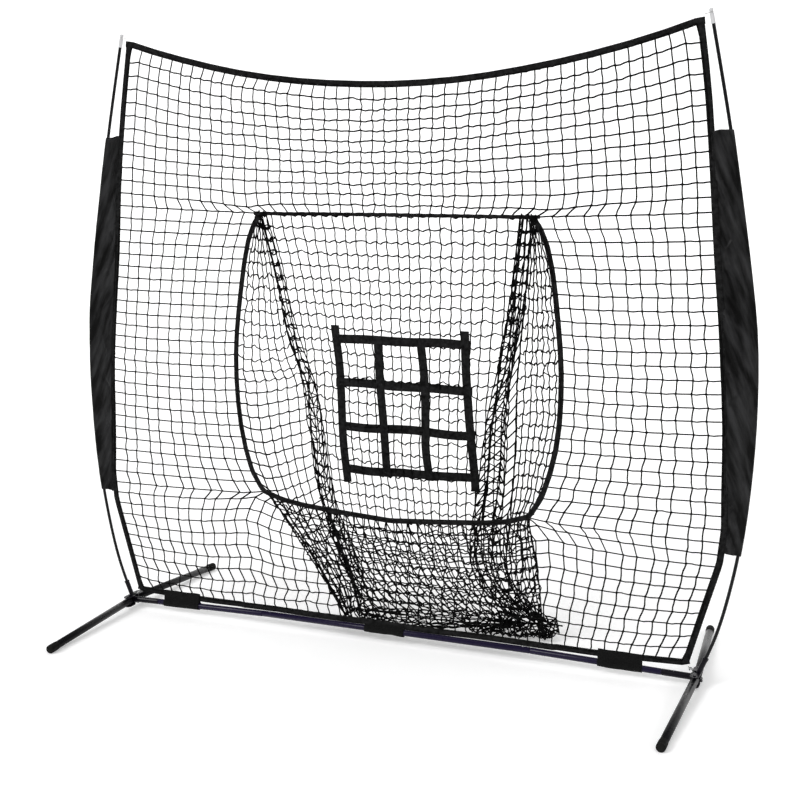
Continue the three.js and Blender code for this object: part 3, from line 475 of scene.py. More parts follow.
def settle(home, fixed, limit, steps, sink=0.00045, hold=0.02, floor=0.004):
    """Lets a net hang: knots fall a little each step, are held loosely to their place, and are kept
    within a mesh length of each other by the twine."""
    points = home.copy()
    weight = np.where(fixed, 0.0, 1.0)[..., None]
    every = slice(None)
    links = []
    for start in (0, 1):
        links.append(((every, slice(start, -1, 2)), (every, slice(start + 1, None, 2))))
        links.append(((slice(start, -1, 2), every), (slice(start + 1, None, 2), every)))
    for _ in range(steps):
        points += weight * hold * (home - points)
        points[..., 2] -= weight[..., 0] * sink
        for _ in range(6):
            for first, second in links:
                shorten(points, weight, first, second, limit)
        low = (points[..., 2] < floor) & ~fixed
        points[..., 2][low] = floor
    return points


def strand(knots, rng, waviness, droop):
    """The path and thickness of one strand through its knots; slack twine bows to one side, and
    the twine of a row mostly droops."""
    most, least = 0.013, 0.0004  # how far a strand bows out
    near, far = knots[:-1], knots[1:]
    run = far - near
    length = np.linalg.norm(run, axis=1, keepdims=True)
    bow = 0.5 * np.sqrt(np.maximum(STRAND_LENGTH**2 - length**2, 0.0)) * waviness
    bunched = np.clip(1.0 - length / STRAND_LENGTH, 0.0, 1.0)
    bow = np.minimum(bow, most + 0.005 * bunched) + least
    sag = droop * np.clip(1.0 - 1.3 * bunched, 0.0, 1.0)
    aside = rng.standard_normal(run.shape) * np.array([1.0, 0.7, 1.0]) - UP * sag
    aside = unit(aside - unit(run) * (aside * unit(run)).sum(1, keepdims=True))
    twist = unit(np.cross(run, aside))
    share = np.array([0.0, 0.11, 0.37, 0.63, 0.89])
    size = np.array([KNOT_GROWTH, 1.0, 1.0, 1.0, 1.0])
    t = share[None, :, None]
    path = near[:, None] + run[:, None] * t
    sway = 0.7 * np.sin(np.pi * t) + (0.5 if droop else 0.25) * np.sin(2 * np.pi * t)
    path = path + bow[:, None] * sway * aside[:, None]
    path = path + (0.35 * bow[:, None] * np.sin(2 * np.pi * t)) * twist[:, None]
    path = np.concatenate([path.reshape(-1, 3), knots[-1:]])
    radius = np.concatenate([np.tile(size, len(run)), [KNOT_GROWTH]]) * TWINE_R
    path[:, 2] = np.maximum(path[:, 2], radius + 0.0005)
    return path, radius


def runs_of(flags):
    """Start and end of each stretch of true flags."""
    edges = np.flatnonzero(np.diff(np.concatenate([[0], flags.astype(int), [0]])))
    return list(zip(edges[::2], edges[1::2]))


def make_net(name, knots, exists, rng, waviness, replaced):
    """A net's rows, then its columns, each a piece with a tube for every strand."""
    across = (knots.transpose(1, 0, 2), exists.T)
    sets = (("rows", (knots, exists), ROW_DROOP), ("columns", across, 0.0))
    for (label, grid, droop), wavy in zip(sets, waviness):
        builder = Builder()
        for line, flags in zip(*grid):
            for start, stop in runs_of(flags):
                if stop - start > 1:
                    builder.tube(*strand(line[start:stop], rng, wavy, droop))
        builder.make(f"{name}_{label}", TWINE, replaced=replaced)


# ---- outlines read from the frame

rim_low, rim_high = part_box("mouth_binding_rim")
MOUTH_MIDDLE = (0.0, 0.5 * (rim_low.z + rim_high.z))
top_low, top_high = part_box("mouth_binding_top")
MOUTH_TOP_Z = 0.5 * (top_low.z + top_high.z)


def mouth_line(share, count=160):
    """The binding from the mouth's top right corner round its bottom to the top left one. share 0 is
    its inner edge and 1 its outer edge."""
    corner = math.atan2(rim_high.z - MOUTH_MIDDLE[1] - 0.012, 0.5)
    line = []
    for angle in np.linspace(corner, -math.pi - corner, count):
        direction = (math.cos(angle), math.sin(angle))
        near, far = reach("mouth_binding_rim", MOUTH_MIDDLE, direction)
        r = near + (far - near) * share
        line.append((MOUTH_MIDDLE[0] + direction[0] * r, MOUTH_MIDDLE[1] + direction[1] * r))
    return np.array(line)


def hem_line(node, share, count=90):
    """A hem's line, from left to right or from its foot up; share 0 is its inner edge."""
    low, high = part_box(node)
    line = []
    if node in ("hem_top", "hem_bottom"):
        sign = 1 if node == "hem_top" else -1
        half = high.x - 0.002
        for x in np.linspace(-half, half, count):
            near, far = reach(node, (x, MOUTH_MIDDLE[1]), (0, sign))
            line.append((x, MOUTH_MIDDLE[1] + sign * (near + (far - near) * share)))
    else:
        sign = 1 if node == "hem_right" else -1
        for z in np.linspace(low.z + 0.001, high.z - 0.012, count):
            near, far = reach(node, (0.0, z), (sign, 0))
            line.append((sign * (near + (far - near) * share), z))
    return np.array(line)


def with_depth(line, y):
    line = np.asarray(line)
    return np.stack([line[:, 0], np.broadcast_to(y, len(line)), line[:, 1]], 1)


mouth_centre = mouth_line(0.5)
below_middle = mouth_centre[:, 1] < MOUTH_MIDDLE[1]
right_turn = int(np.argmax(below_middle & (mouth_centre[:, 0] < BOTTOM_CORNER_X)))
top_half = mouth_centre[0][0]
mouth_right = np.concatenate([[(top_half, MOUTH_TOP_Z)], mouth_centre[: right_turn + 1]])
mouth_bottom = mouth_centre[right_turn : len(mouth_centre) - right_turn]
mouth_left = mouth_right * np.array([-1, 1])


# ---- the main net

def main_net_homes():
    """Where the main net's knots would lie if it were drawn tight between its hems and the mouth, which
    knots are sewn down, and which exist, since the mouth is a hole."""
    rows, columns = MAIN_ROWS + 1, MAIN_COLUMNS + 1
    home = np.zeros((rows, columns, 2))
    fixed = np.zeros((rows, columns), bool)
    sewn_at = 0.25  # share of a hem's width
    m = MOUTH_CELLS
    for column, node in ((0, "hem_left"), (-1, "hem_right")):
        line = hem_line(node, sewn_at)
        known_rows = [0, m["bottom"], m["top"], MAIN_ROWS]
        z = np.interp(np.arange(rows), known_rows, [line[0][1], *MOUTH_ROWS_Z, line[-1][1]])
        home[:, column] = np.stack([np.interp(z, line[:, 1], line[:, 0]), z], 1)
    for row, node in ((0, "hem_bottom"), (-1, "hem_top")):
        line = hem_line(node, sewn_at)
        home[row] = resample(line[np.abs(line[:, 0]) <= home[row, -1, 0]], MAIN_COLUMNS)
    fixed[:, [0, -1]] = True
    fixed[[0, -1]] = True
    cells_up, cells_across = m["top"] - m["bottom"], m["right"] - m["left"]
    home[m["bottom"] : m["top"] + 1, m["right"]] = resample(mouth_right[::-1], cells_up)
    home[m["bottom"] : m["top"] + 1, m["left"]] = resample(mouth_left[::-1], cells_up)
    home[m["bottom"], m["left"] : m["right"] + 1] = resample(mouth_bottom[::-1], cells_across)
    mouth_top = np.array([(-top_half, MOUTH_TOP_Z), (top_half, MOUTH_TOP_Z)])
    home[m["top"], m["left"] : m["right"] + 1] = resample(mouth_top, cells_across)
    fixed[m["bottom"] : m["top"] + 1, [m["left"], m["right"]]] = True
    fixed[[m["bottom"], m["top"]], m["left"] : m["right"] + 1] = True
    u = np.linspace(0, 1, columns)[None, :, None]
    home = np.where(fixed[..., None], home, home[:, :1] * (1 - u) + home[:, -1:] * u)
    for _ in range(1500):
        above_below = np.roll(home, 1, 0) + np.roll(home, -1, 0)
        spread = (above_below + np.roll(home, 1, 1) + np.roll(home, -1, 1)) / 4
        home[~fixed] = spread[~fixed]
    exists = np.ones((rows, columns), bool)
    exists[m["bottom"] + 1 : m["top"], m["left"] + 1 : m["right"]] = False
    return home, fixed, exists


def make_main_net():
    home, fixed, exists = main_net_homes()
    rows, columns = home.shape[:2]
    rng = np.random.default_rng(SEED)
    drift = smooth_noise(rng, (rows, columns), (7, 7))
    jitter = rng.standard_normal((rows, columns, 3))
    knots = np.zeros((rows, columns, 3))
    knots[..., 0] = home[..., 0]
    knots[..., 2] = home[..., 1]
    move = drift * np.array([0.005, 0.009, 0.005]) + jitter * np.array([0.0016, 0.0015, 0.0016])
    knots[~fixed] += move[~fixed]
    held = fixed | ~exists
    knots = settle(knots, held, MESH * 1.03, 40, sink=0.0003, hold=0.03)
    # every other row sits a little to one side, most where the net is slack near its foot
    patch = np.abs(smooth_noise(rng, (rows, columns), (6, 6), 1)[..., 0])
    lower = np.linspace(1.0, 0.0, rows)[:, None] ** 1.5 + 0.06
    alternate = np.where(np.arange(rows) % 2 == 0, 1.0, -1.0)[:, None]
    zigzag = alternate * (0.25 + patch) * lower * 0.0045
    knots[..., 0] += np.where(held, 0.0, zigzag)
    make_net("main_net", knots, exists, np.random.default_rng(SEED + 1), (0.3, 0.2), ("main_net",))


# ---- the pocket

def rumple(home, fixed, rng, cells, lower_from=0.0):
    """Loose folds and small disorder, stronger towards the net's foot."""
    shape = home.shape[:2]
    grow = np.linspace(0, 1, shape[0])[:, None, None]
    strength = np.clip((grow - lower_from) / (1 - lower_from), 0, 1) * 0.85 + 0.15
    folds = smooth_noise(rng, shape, cells) * FOLD_SIZE
    jitter = rng.standard_normal((*shape, 3)) * FOLD_SIZE * 0.22
    moved = home + (folds + jitter) * strength
    return np.where(fixed[..., None], home, moved)


def pleat(fold, side, share):
    """Columns bunched at a fold of the bag, zigzagging in depth and opening out towards its foot."""
    k = np.arange(PLEATS[side])
    along = k / (PLEATS[side] - 1)
    width = PLEAT_WIDTHS[side] * (0.2 + 0.95 * share**1.3)
    across = (along if side == "left" else along - 1) * width
    alternate = np.where(k % 2 == 0, 0.5, -0.5)
    in_out = alternate * width * 0.35
    offset = alternate * MESH * 0.5 * min(1.0, 2.5 * share)
    return fold + np.stack([across, in_out, offset], 1)


def front_side(sign, t):
    """The seam between the pocket's front and its sides, from the mouth's bottom corner (t = 0) down
    to the floor (t = 1)."""
    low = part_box("pocket_front")[0]
    corner = np.array([sign * abs(mouth_bottom[0][0]), 0.004, mouth_bottom[0][1]])
    foot_x = sign * reach("pocket_front", (0.0, low.z + 0.012), (sign, 0))[1]
    foot_y = depth("pocket_front", foot_x - sign * 0.01, low.z + 0.01)
    path = corner * (1 - t) + np.array([foot_x, foot_y, FOOT_Z]) * t
    path[1] += FRONT_BULGE * math.sin(math.pi * t)
    return path


def back_row(share):
    """The back wall's knots at one share of the way down it. It follows the CAD wall, but its right
    side tucks in near the floor and its left side bellies out."""
    low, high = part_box("pocket_back")
    top_z = MOUTH_TOP_Z - 0.002
    z = top_z + (low.z + 0.004 - top_z) * share
    solid_z = min(z, high.z - 0.002)
    left_x = -reach("pocket_back", (0.0, solid_z), (-1, 0))[1]
    right_x = reach("pocket_back", (0.0, solid_z), (1, 0))[1]
    late = max((share - 0.62) / 0.38, 0.0)
    tuck, to_one = 0.25, 9.48  # the curve's height, and what brings the curve's own peak to 1
    right_x -= tuck * to_one * late**3 * (1 - late)
    belly = 0.075
    left_x -= belly * math.sin(math.pi * min(max((share - 0.35) / 0.65, 0.0), 1.0) ** 1.5)
    xs = np.linspace(left_x, right_x, BACK_COLUMNS + 1)
    inner = np.clip(xs, left_x + 0.003, right_x - 0.003)
    ys = np.array([depth("pocket_back", x, solid_z) or high.y for x in inner])
    if z > high.z:
        ys = ys * min(1.0, (top_z - z) / (top_z - high.z + 1e-6))
    return np.stack([xs, ys, np.full_like(xs, z)], 1)


def wrap_homes():
    """Where the knots of gusset, back wall and gusset would lie with no slack."""
    mouth_side = resample(mouth_right, MOUTH_SIDE_ROWS)
    rows = []
    for j in range(POCKET_ROWS + 1):
        share = j / POCKET_ROWS
        back = back_row(share)
        if j <= MOUTH_SIDE_ROWS:
            right_edge = np.array([mouth_side[j][0], 0.002, mouth_side[j][1]])
            left_edge = right_edge * np.array([-1, 1, 1])
        else:
            t = (j - MOUTH_SIDE_ROWS) / (POCKET_ROWS - MOUTH_SIDE_ROWS)
            right_edge, left_edge = front_side(1, t), front_side(-1, t)
        crowding = 1.0 + 0.9 * min(max(j - 20, 0) / 6, 1)
        u = np.linspace(0, 1, GUSSET_COLUMNS + 1)[:-1, None] ** crowding
        left_pleat = pleat(back[0], "left", share)
        right_pleat = pleat(back[-1], "right", share)
        left = left_edge * (1 - u) + left_pleat[0] * u
        right = (right_edge * (1 - u) + right_pleat[-1] * u)[::-1]
        rows.append(np.concatenate([left, left_pleat, back, right_pleat, right]))
    return np.array(rows)


def front_homes(wrap):
    """The front below the mouth, then the floor, whose last row is the wrap's bottom row."""
    grid = np.zeros((FRONT_ROWS + FLOOR_ROWS + 1, BACK_COLUMNS + 1, 3))
    top = with_depth(resample(mouth_bottom[::-1], BACK_COLUMNS), 0.004)
    u = np.linspace(0, 1, BACK_COLUMNS + 1)[:, None]
    foot = front_side(-1, 1.0) * (1 - u) + front_side(1, 1.0) * u
    last = resample(wrap[-1], BACK_COLUMNS)
    for j in range(len(grid)):
        if j <= FRONT_ROWS:
            t = j / FRONT_ROWS
            grid[j] = top * (1 - t) + foot * t
            grid[j, :, 1] += FRONT_BULGE * math.sin(math.pi * t)
        else:
            t = (j - FRONT_ROWS) / FLOOR_ROWS
            grid[j] = foot * (1 - t) + last * t
            grid[j, :, 2] = FOOT_Z * (1 - t) + last[:, 2] * t
    return grid


def sewn_edges(shape, side_rows):
    """Flags the knots of a net's top and bottom rows, and of both sides down to a row."""
    fixed = np.zeros(shape, bool)
    fixed[[0, -1]] = True
    fixed[:side_rows, [0, -1]] = True
    return fixed


def make_wrap(rng):
    home = wrap_homes()
    fixed = sewn_edges(home.shape[:2], POCKET_ROWS + 1)
    start = rumple(home, fixed, rng, (9, 12), 0.2)
    right_pleats = GUSSET_COLUMNS + PLEATS["left"] + BACK_COLUMNS + 1
    bunches = ((GUSSET_COLUMNS, PLEATS["left"]), (right_pleats, PLEATS["right"]))
    # bunched columns wander: each knot of a pleat lies where its twine happened to fold
    for first, count in bunches:
        shape = (POCKET_ROWS - 1, count)
        stray = rng.standard_normal((*shape, 3)) * np.array([0.009, 0.012, 0.017])
        stray += smooth_noise(rng, shape, (8, 4)) * np.array([0.022, 0.018, 0.022])
        grow = np.linspace(0.15, 1.3, POCKET_ROWS - 1)[:, None, None]
        start[1:-1, first : first + count] += stray * grow
    knots = settle(start, fixed, MESH * 1.02, 60, hold=0.03)
    # a gathered net's neighbouring columns hang half a mesh apart, which makes diamonds of its squares
    down = np.linspace(0.0, 1.0, POCKET_ROWS + 1)[1:-1, None]
    for first, count in bunches:
        stagger = np.where(np.arange(count) % 2 == 0, 0.25, -0.25) * MESH
        fade = np.minimum(1.0, 4.0 * down) * np.minimum(1.0, 4.0 * (1.0 - down))
        wander = 1.0 + 0.5 * np.sin(9.0 * down + np.arange(count))
        knots[1:-1, first : first + count, 2] += stagger * fade * wander
    walls = ("pocket_back", "pocket_gusset_left", "pocket_gusset_right")
    make_net("pocket_wrap", knots, np.ones(fixed.shape, bool), rng, (0.5, 0.5), walls)
    return knots


def make_front(rng, wrap):
    home = front_homes(wrap)
    fixed = sewn_edges(home.shape[:2], FRONT_ROWS + 1)
    start = rumple(home, fixed, rng, (5, 10))
    knots = settle(start, fixed, MESH * 1.02, 60, hold=0.02, floor=0.006)
    replaced = ("pocket_front", "pocket_floor")
    make_net("pocket_front", knots, np.ones(fixed.shape, bool), rng, (0.6, 0.6), replaced)


make_main_net()
pocket_rng = np.random.default_rng(SEED + 2)
wrap_knots = make_wrap(pocket_rng)
make_front(pocket_rng, wrap_knots)


# -------- webbing

def ribbon(builder, path, across, width, thickness, ribs):
    """A woven strip along a path: rounded edges, and shallow ribs along its length."""
    across = unit(across)
    normal = unit(np.cross(unit(np.gradient(path, axis=0)), across))
    s = np.linspace(-1, 1, 2 * ribs + 3)
    edge = np.sqrt(np.clip(1 - np.abs(s) ** 6, 0, 1))
    height = 0.5 * thickness * edge * (1 + 0.22 * np.cos(s * np.pi * ribs))
    height[[0, -1]] = 0.12 * thickness
    section = list(zip(s, height)) + list(zip(s[::-1], -height[::-1]))
    builder.rings(np.stack([path + across * (0.5 * width * a) + normal * h for a, h in section], 1))
    return normal


def stitches(builder, path, normal, pitch=0.006, radius=0.0004):
    """A running stitch: short threads proud of a surface, along a path on it."""
    marks = path_marks(path)
    for start in np.arange(0.004, marks[-1] - pitch, pitch):
        want = start + np.array([0.0, 0.25, 0.5, 0.75]) * pitch * 0.85
        height = np.array([-0.2, 1.0, 1.0, -0.2])[:, None] * radius * 1.6
        builder.tube(sample(want, marks, path) + sample(want, marks, normal) * height, radius)


def stitch_edges(builder, path, across, normal, inset, lift):
    """Stitches along both edges of a strip, on both its faces."""
    for edge in (-inset, inset):
        for face in (-1, 1):
            stitches(builder, path + across * edge + normal * (face * lift), normal * face)


def lengthen(path, across, before, after):
    """A strip's path and cross direction, carried on straight past both ends."""
    tangent = unit(np.gradient(path, axis=0))
    path = np.concatenate([[path[0] - tangent[0] * before], path, [path[-1] + tangent[-1] * after]])
    return path, np.concatenate([across[:1], across, across[-1:]])


def wobble(path, y_size, flat_size, cells):
    """Small slackness in a sewn strip."""
    noise = smooth_noise(strip_rng, (2, len(path)), (1, cells))[0]
    fade = np.sin(np.linspace(0, np.pi, len(path)))[:, None] ** 0.3
    return path + noise * np.array([flat_size, y_size, flat_size]) * fade


strip_rng = np.random.default_rng(SEED + 3)
hem_low, hem_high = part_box("hem_top")
hem_y = 0.5 * (hem_high.y - hem_low.y)
hem_inner, hem_outer = reach("hem_bottom", (0.0, MOUTH_MIDDLE[1]), (0, -1))
hem_width = hem_outer - hem_inner
HEM_ENDS = {"hem_top": (0.003, 0.003), "hem_left": (0.004, 0.012), "hem_right": (0.004, 0.012)}


def make_hem(node):
    outer = with_depth(hem_line(node, 1.0), 0.0)
    inner = with_depth(hem_line(node, 0.0), 0.0)
    middle = resample(0.5 * (outer + inner), 160)
    across = unit(resample(outer, 160) - resample(inner, 160))
    tangent = unit(np.gradient(middle, axis=0))
    across = unit(across - tangent * (across * tangent).sum(1, keepdims=True))
    if node in HEM_ENDS:
        middle, across = lengthen(middle, across, *HEM_ENDS[node])
    middle = wobble(middle, 0.0022, 0.0012, 14)
    if node == "hem_bottom":
        # its middle hangs a little lower than its ends
        middle[:, 2] -= 0.0022 * (np.abs(middle[:, 0]) < 0.6)
    builder = Builder()
    normal = ribbon(builder, middle, across, hem_width, 2 * hem_y, ribs=4)
    builder.make(node + "_webbing", WEBBING, replaced=(node,))
    thread = Builder()
    stitch_edges(thread, middle, across, normal, hem_width * 0.36, hem_y * 1.02)
    thread.make(node + "_stitching", THREAD)


def make_mouth_rim():
    outer = with_depth(mouth_line(1.0), 0.0)
    inner = with_depth(mouth_line(0.0), 0.0)
    width = float(np.median(np.linalg.norm(outer - inner, axis=1)))
    middle = resample(0.5 * (outer + inner), 200)
    across = unit(np.cross(unit(np.gradient(middle, axis=0)), np.array([0.0, 1.0, 0.0])))
    middle, across = lengthen(middle, across, 0.008, 0.008)
    middle = wobble(middle, 0.003, 0.0012, 16)
    builder = Builder()
    normal = ribbon(builder, middle, across, width * 0.96, rim_high.y - rim_low.y, ribs=3)
    builder.make("mouth_binding_sides", WEBBING, replaced=("mouth_binding_rim",))
    thread = Builder()
    stitch_edges(thread, middle, across, normal, width * 0.34, rim_high.y * 1.02)
    thread.make("mouth_binding_stitching", THREAD)


def make_mouth_roll():
    """The rolled binding along the mouth's top, in small swells."""
    count, half = 120, top_high.x
    line = np.stack([np.linspace(-half, half, count), np.zeros(count), np.full(count, MOUTH_TOP_Z)], 1)
    line = wobble(line, 0.002, 0.0008, 9)
    angle = np.linspace(0, 2 * np.pi, 14, endpoint=False)
    tall, deep = 0.5 * (top_high.z - top_low.z), 0.5 * (top_high.y - top_low.y) * 1.5
    swell = 1 + 0.08 * np.sin(np.linspace(0, 150, count))
    ring = np.stack([0 * angle, deep * np.cos(angle), tall * np.sin(angle)], 1)
    roll = Builder()
    roll.rings([place + ring * k for place, k in zip(line, swell)])
    roll.make("mouth_binding_roll", WEBBING, replaced=("mouth_binding_top",))


def net_depth(x, z):
    """The pocket wall's y at (x, z), from the settled knots nearest to it."""
    blur = 0.035
    first = GUSSET_COLUMNS + PLEATS["left"]
    flat = wrap_knots[:, first : first + BACK_COLUMNS + 1].reshape(-1, 3)
    distance = (flat[:, 0] - x) ** 2 + (flat[:, 2] - z) ** 2
    weight = np.exp(-distance / (2 * blur**2))
    return float((flat[:, 1] * weight).sum() / weight.sum())


def make_strike_zone():
    count = 70
    layers = {"row": 0.004, "column": 0.0062}  # in front of the net
    thread = Builder()
    for kind, layer in layers.items():
        for k in range(1, 5):
            node = f"strike_{kind}_{k}"
            low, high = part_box(node)
            x, z = np.linspace(low.x, high.x, count), np.linspace(low.z, high.z, count)
            if kind == "row":
                z[:], width, across = 0.5 * (low.z + high.z), high.z - low.z, UP
            else:
                x[:], width, across = 0.5 * (low.x + high.x), high.x - low.x, RIGHT
            y = np.array([net_depth(a, b) for a, b in zip(x, z)]) - layer
            path = wobble(np.stack([x, y, z], 1), 0.0015, 0.0038, 5)
            across = np.tile(across, (count, 1))
            builder = Builder()
            normal = ribbon(builder, path, across, width * 0.98, 0.0019, ribs=4)
            builder.make(f"{node}_strap", WEBBING, replaced=(node,))
            stitch_edges(thread, path, across, normal, width * 0.38, 0.00105)
    thread.make("strike_zone_stitching", THREAD)


for hem in ("hem_top", "hem_bottom", "hem_left", "hem_right"):
    make_hem(hem)
make_mouth_rim()
make_mouth_roll()
make_strike_zone()


# -------- sleeves and bar straps

def pole_x(side, z):
    """How far out the middle of a pole lies at a height."""
    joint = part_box(f"pole_upper_{side}")[0].z
    node = f"pole_lower_{side}" if z < joint else f"pole_upper_{side}"
    low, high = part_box(node)
    z = min(max(z, low.z + 0.003), high.z - 0.003)
    near, far = reach(node, (0.0, z), (SIDES[side], 0))
    return 0.5 * (near + far)


def shell_piece(points, thickness, name, material, replaced):
    """A sheet of cloth from a grid of points on its middle, doubled to its thickness and closed along
    its rim."""
    rows, columns = points.shape[:2]
    normal = unit(np.cross(np.gradient(points, axis=1), np.gradient(points, axis=0))) * thickness / 2
    skin = np.concatenate([points + normal, (points - normal)[:, ::-1]], 1)
    builder = Builder()
    builder.rings(skin, capped=False)
    sides = 2 * columns
    for row, way in ((0, -1), (rows - 1, 1)):
        base = row * sides
        for k in range(columns - 1):
            quad = [base + k, base + k + 1, base + sides - 2 - k, base + sides - 1 - k]
            builder.faces.append(quad[::way])
    return builder.make(name, material, replaced=replaced)


def creases(rng, z, across, count, low, high):
    """Sharp slanting creases: most run down from the hem towards the pole, some up."""
    height = np.zeros(z.shape)
    for _ in range(count):
        start = rng.uniform(low, high)
        drop = rng.uniform(0.03, 0.20) * rng.choice([1.0, 1.0, 1.0, -1.0])
        width = rng.uniform(0.005, 0.011)
        deep = rng.uniform(0.002, 0.0058) * rng.choice([1.0, -1.0])
        runs_to = rng.uniform(0.45, 1.0)
        off = (z - (start - drop * across)) / width
        lean = np.where(off > 0, np.exp(-off), np.exp(-(off**2)))
        height += deep * lean * np.clip(1.25 - across / runs_to, 0, 1)
    return height


def smooth_sleeve(side, rows, flat_steps, round_steps):
    """A sleeve with no creases: out from the hem, round the pole and back. Also how far each of its
    points is on the way from the hem (0) to the seam beside the pole (1)."""
    wrap_r, half_gap, seam_inset, hem_lap = 0.0088, 0.0021, 0.0155, 0.006
    sign = SIDES[side]
    low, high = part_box(f"pole_sleeve_{side}")
    flat = np.linspace(0, 1, flat_steps + 1)[:-1]
    angles = np.linspace(-math.pi * 0.62, math.pi * 0.62, round_steps + 1)
    grid = []
    for z in np.linspace(low.z, high.z, rows):
        centre = pole_x(side, z)
        hem_x = reach(f"hem_{side}", (0.0, z), (sign, 0))[1] - hem_lap
        seam_x = max(centre - seam_inset, hem_x + 0.004)
        arc = np.stack([centre + wrap_r * np.cos(angles), wrap_r * np.sin(angles)], 1)
        near_side = np.stack([hem_x + (seam_x - hem_x) * flat, np.full(flat_steps, -half_gap)], 1)
        section = np.concatenate([near_side, arc, near_side[::-1] * np.array([1, -1])])
        grid.append(np.stack([sign * section[:, 0], section[:, 1], np.full(len(section), z)], 1))
    share = np.concatenate([flat, np.ones(round_steps + 1), flat[::-1]])
    return np.array(grid), np.tile(share, (rows, 1))


def make_sleeve(side):
    rows = 300
    low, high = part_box(f"pole_sleeve_{side}")
    grid, share = smooth_sleeve(side, rows, 18, 16)
    count = grid.shape[1]
    rng = np.random.default_rng(SEED + 10 + (side == "right"))
    outward = np.where(np.linspace(0, 1, count) < 0.5, -1.0, 1.0)
    slack = np.sin(np.pi * share) ** 0.6
    folds = creases(rng, grid[..., 2], share, 64, low.z - 0.05, high.z + 0.15)
    broad = smooth_noise(rng, (rows, 1), (9, 1), 1)[:, :, 0] * 0.006
    puff = np.abs(smooth_noise(rng, (rows, count), (30, 8), 1)[..., 0]) * 0.0016
    grid[..., 1] += (folds + broad) * slack + outward * puff * slack
    round_pole = smooth_noise(rng, (rows, count), (60, 5), 1)[..., 0] * 0.0005
    grid[..., 1] += np.where(share >= 1, round_pole, 0)
    edge_wave = smooth_noise(rng, (2, count), (1, 6), 1)[0, :, 0] * 0.004
    fade = np.clip(1 - np.arange(rows) / 28, 0, 1)[:, None]
    grid[..., 2] += edge_wave * fade - edge_wave[::-1] * fade[::-1]
    name = f"pole_sleeve_{side}"
    piece = shell_piece(grid, 0.0009, f"{name}_cloth", NYLON[side], (name,))
    seam = Builder()
    for row in (4, rows - 5):
        normal = unit(np.cross(unit(np.gradient(grid[row], axis=0)), UP))
        outwards = normal * np.where(normal[:, 1] * outward < 0, -1.0, 1.0)[:, None]
        stitches(seam, grid[row] + outwards * 0.0006, outwards)
    seam.make(f"{name}_stitching", THREAD)


def bar_height(x):
    """The height of the base bar's middle at x, read where a tube is at its full thickness."""
    below = -1.0
    for node in ("base_tube_centre", "base_tube_left", "base_tube_right"):
        low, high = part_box(node)
        if low.x + 0.055 < x < high.x - 0.075:
            near, far = reach(node, (x, below), (0, 1))
            return 0.5 * (near + far) + below
    raise ValueError("no bar there")


def make_bar_strap(name):
    """A tape round the bar, with both its ends up against the hem's two faces."""
    rows, wrap_r, tab_y, opening = 40, 0.0136, 0.0028, 0.3
    node = f"bar_strap_{name}"
    low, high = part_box(node)
    rng = np.random.default_rng(SEED + 20 + len(name))
    xs = np.linspace(low.x, high.x, rows)
    hem_drop = reach("hem_bottom", (0.5 * (low.x + high.x), MOUTH_MIDDLE[1]), (0, -1))[1]
    tab_z = MOUTH_MIDDLE[1] - hem_drop + (0.012 if name == "centre" else 0.025)
    angle = np.linspace(math.pi / 2 - opening, -1.5 * math.pi + opening, 30)
    up = np.linspace(1, 0, 7)[:-1, None]
    front_top = np.array([tab_y, tab_z])
    back_top = front_top * np.array([-1, 1])
    grid = []
    for x in xs:
        ring = np.stack([wrap_r * np.cos(angle), bar_height(x) + wrap_r * np.sin(angle)], 1)
        front_tab = front_top * up + ring[0] * (1 - up)
        back_tab = back_top * up + ring[-1] * (1 - up)
        section = np.concatenate([front_tab, ring, back_tab[::-1]])
        grid.append(np.stack([np.full(len(section), x), section[:, 0], section[:, 1]], 1))
    grid = np.array(grid)
    puff = smooth_noise(rng, grid.shape[:2], (6, 8), 1)[..., 0]
    centre = np.array([[0.0, bar_height(x)] for x in xs])[:, None]
    radial = unit(grid[..., 1:] - centre)
    grid[..., 1:] += radial * np.clip(puff * 0.0011, -0.0008, 0.002)[..., None]
    grid[..., 0] += smooth_noise(rng, grid.shape[:2], (1, 6), 1)[..., 0] * 0.0012
    piece = shell_piece(grid, 0.0016, f"{node}_tape", FUZZY, (node,))


for side in SIDES:
    make_sleeve(side)
for strap in ("left", "centre", "right"):
    make_bar_strap(strap)


# -------- tubes, poles and fittings

def tube_profile(radius, bore, length, lip=0.0008):
    """A tube's wall as a closed turned outline, with softened rims."""
    return [
        (bore, lip), (bore + lip * 0.5, 0.0), (radius - lip, 0.0), (radius, lip),
        (radius, length - lip), (radius - lip, length), (bore + lip * 0.5, length), (bore, length - lip),
    ]


def leg_axis(side, end):
    """A leg's pivot, the far end of its cap and the direction between them."""
    pivot = np.array(JOINTS[f"leg_{side}_{end}_fold"]["pos_m"])
    cap_low, cap_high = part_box(f"end_cap_{side}_{end}")
    middle = np.array([0.5 * (cap_low.x + cap_high.x), 0.5 * (cap_low.y + cap_high.y), 0.5 * cap_high.z])
    along = unit(middle - pivot)
    foot_y = cap_high.y if ENDS[end] > 0 else cap_low.y
    return pivot, pivot + along * ((foot_y - pivot[1]) / along[1]), along


def cap_profile(length):
    """A moulded cap from its mouth to its closed end: a rim, five ribs and a rounded foot."""
    groove_r = CAP_R - 0.0003
    profile = [(LEG_R + 0.0002, 0.0), (CAP_R - 0.0008, 0.0), (groove_r, 0.0012), (groove_r, 0.004)]
    for k in range(5):
        at = 0.008 + k * 0.0055
        profile += [(CAP_R, at), (CAP_R, at + 0.0022), (groove_r, at + 0.0030), (groove_r, at + 0.0046)]
    profile += [(CAP_R, length - 0.0050), (CAP_R - 0.0004, length - 0.0025)]
    profile += [(CAP_R - 0.0016, length - 0.0007), (CAP_R - 0.0042, length), (0.004, length)]
    return profile


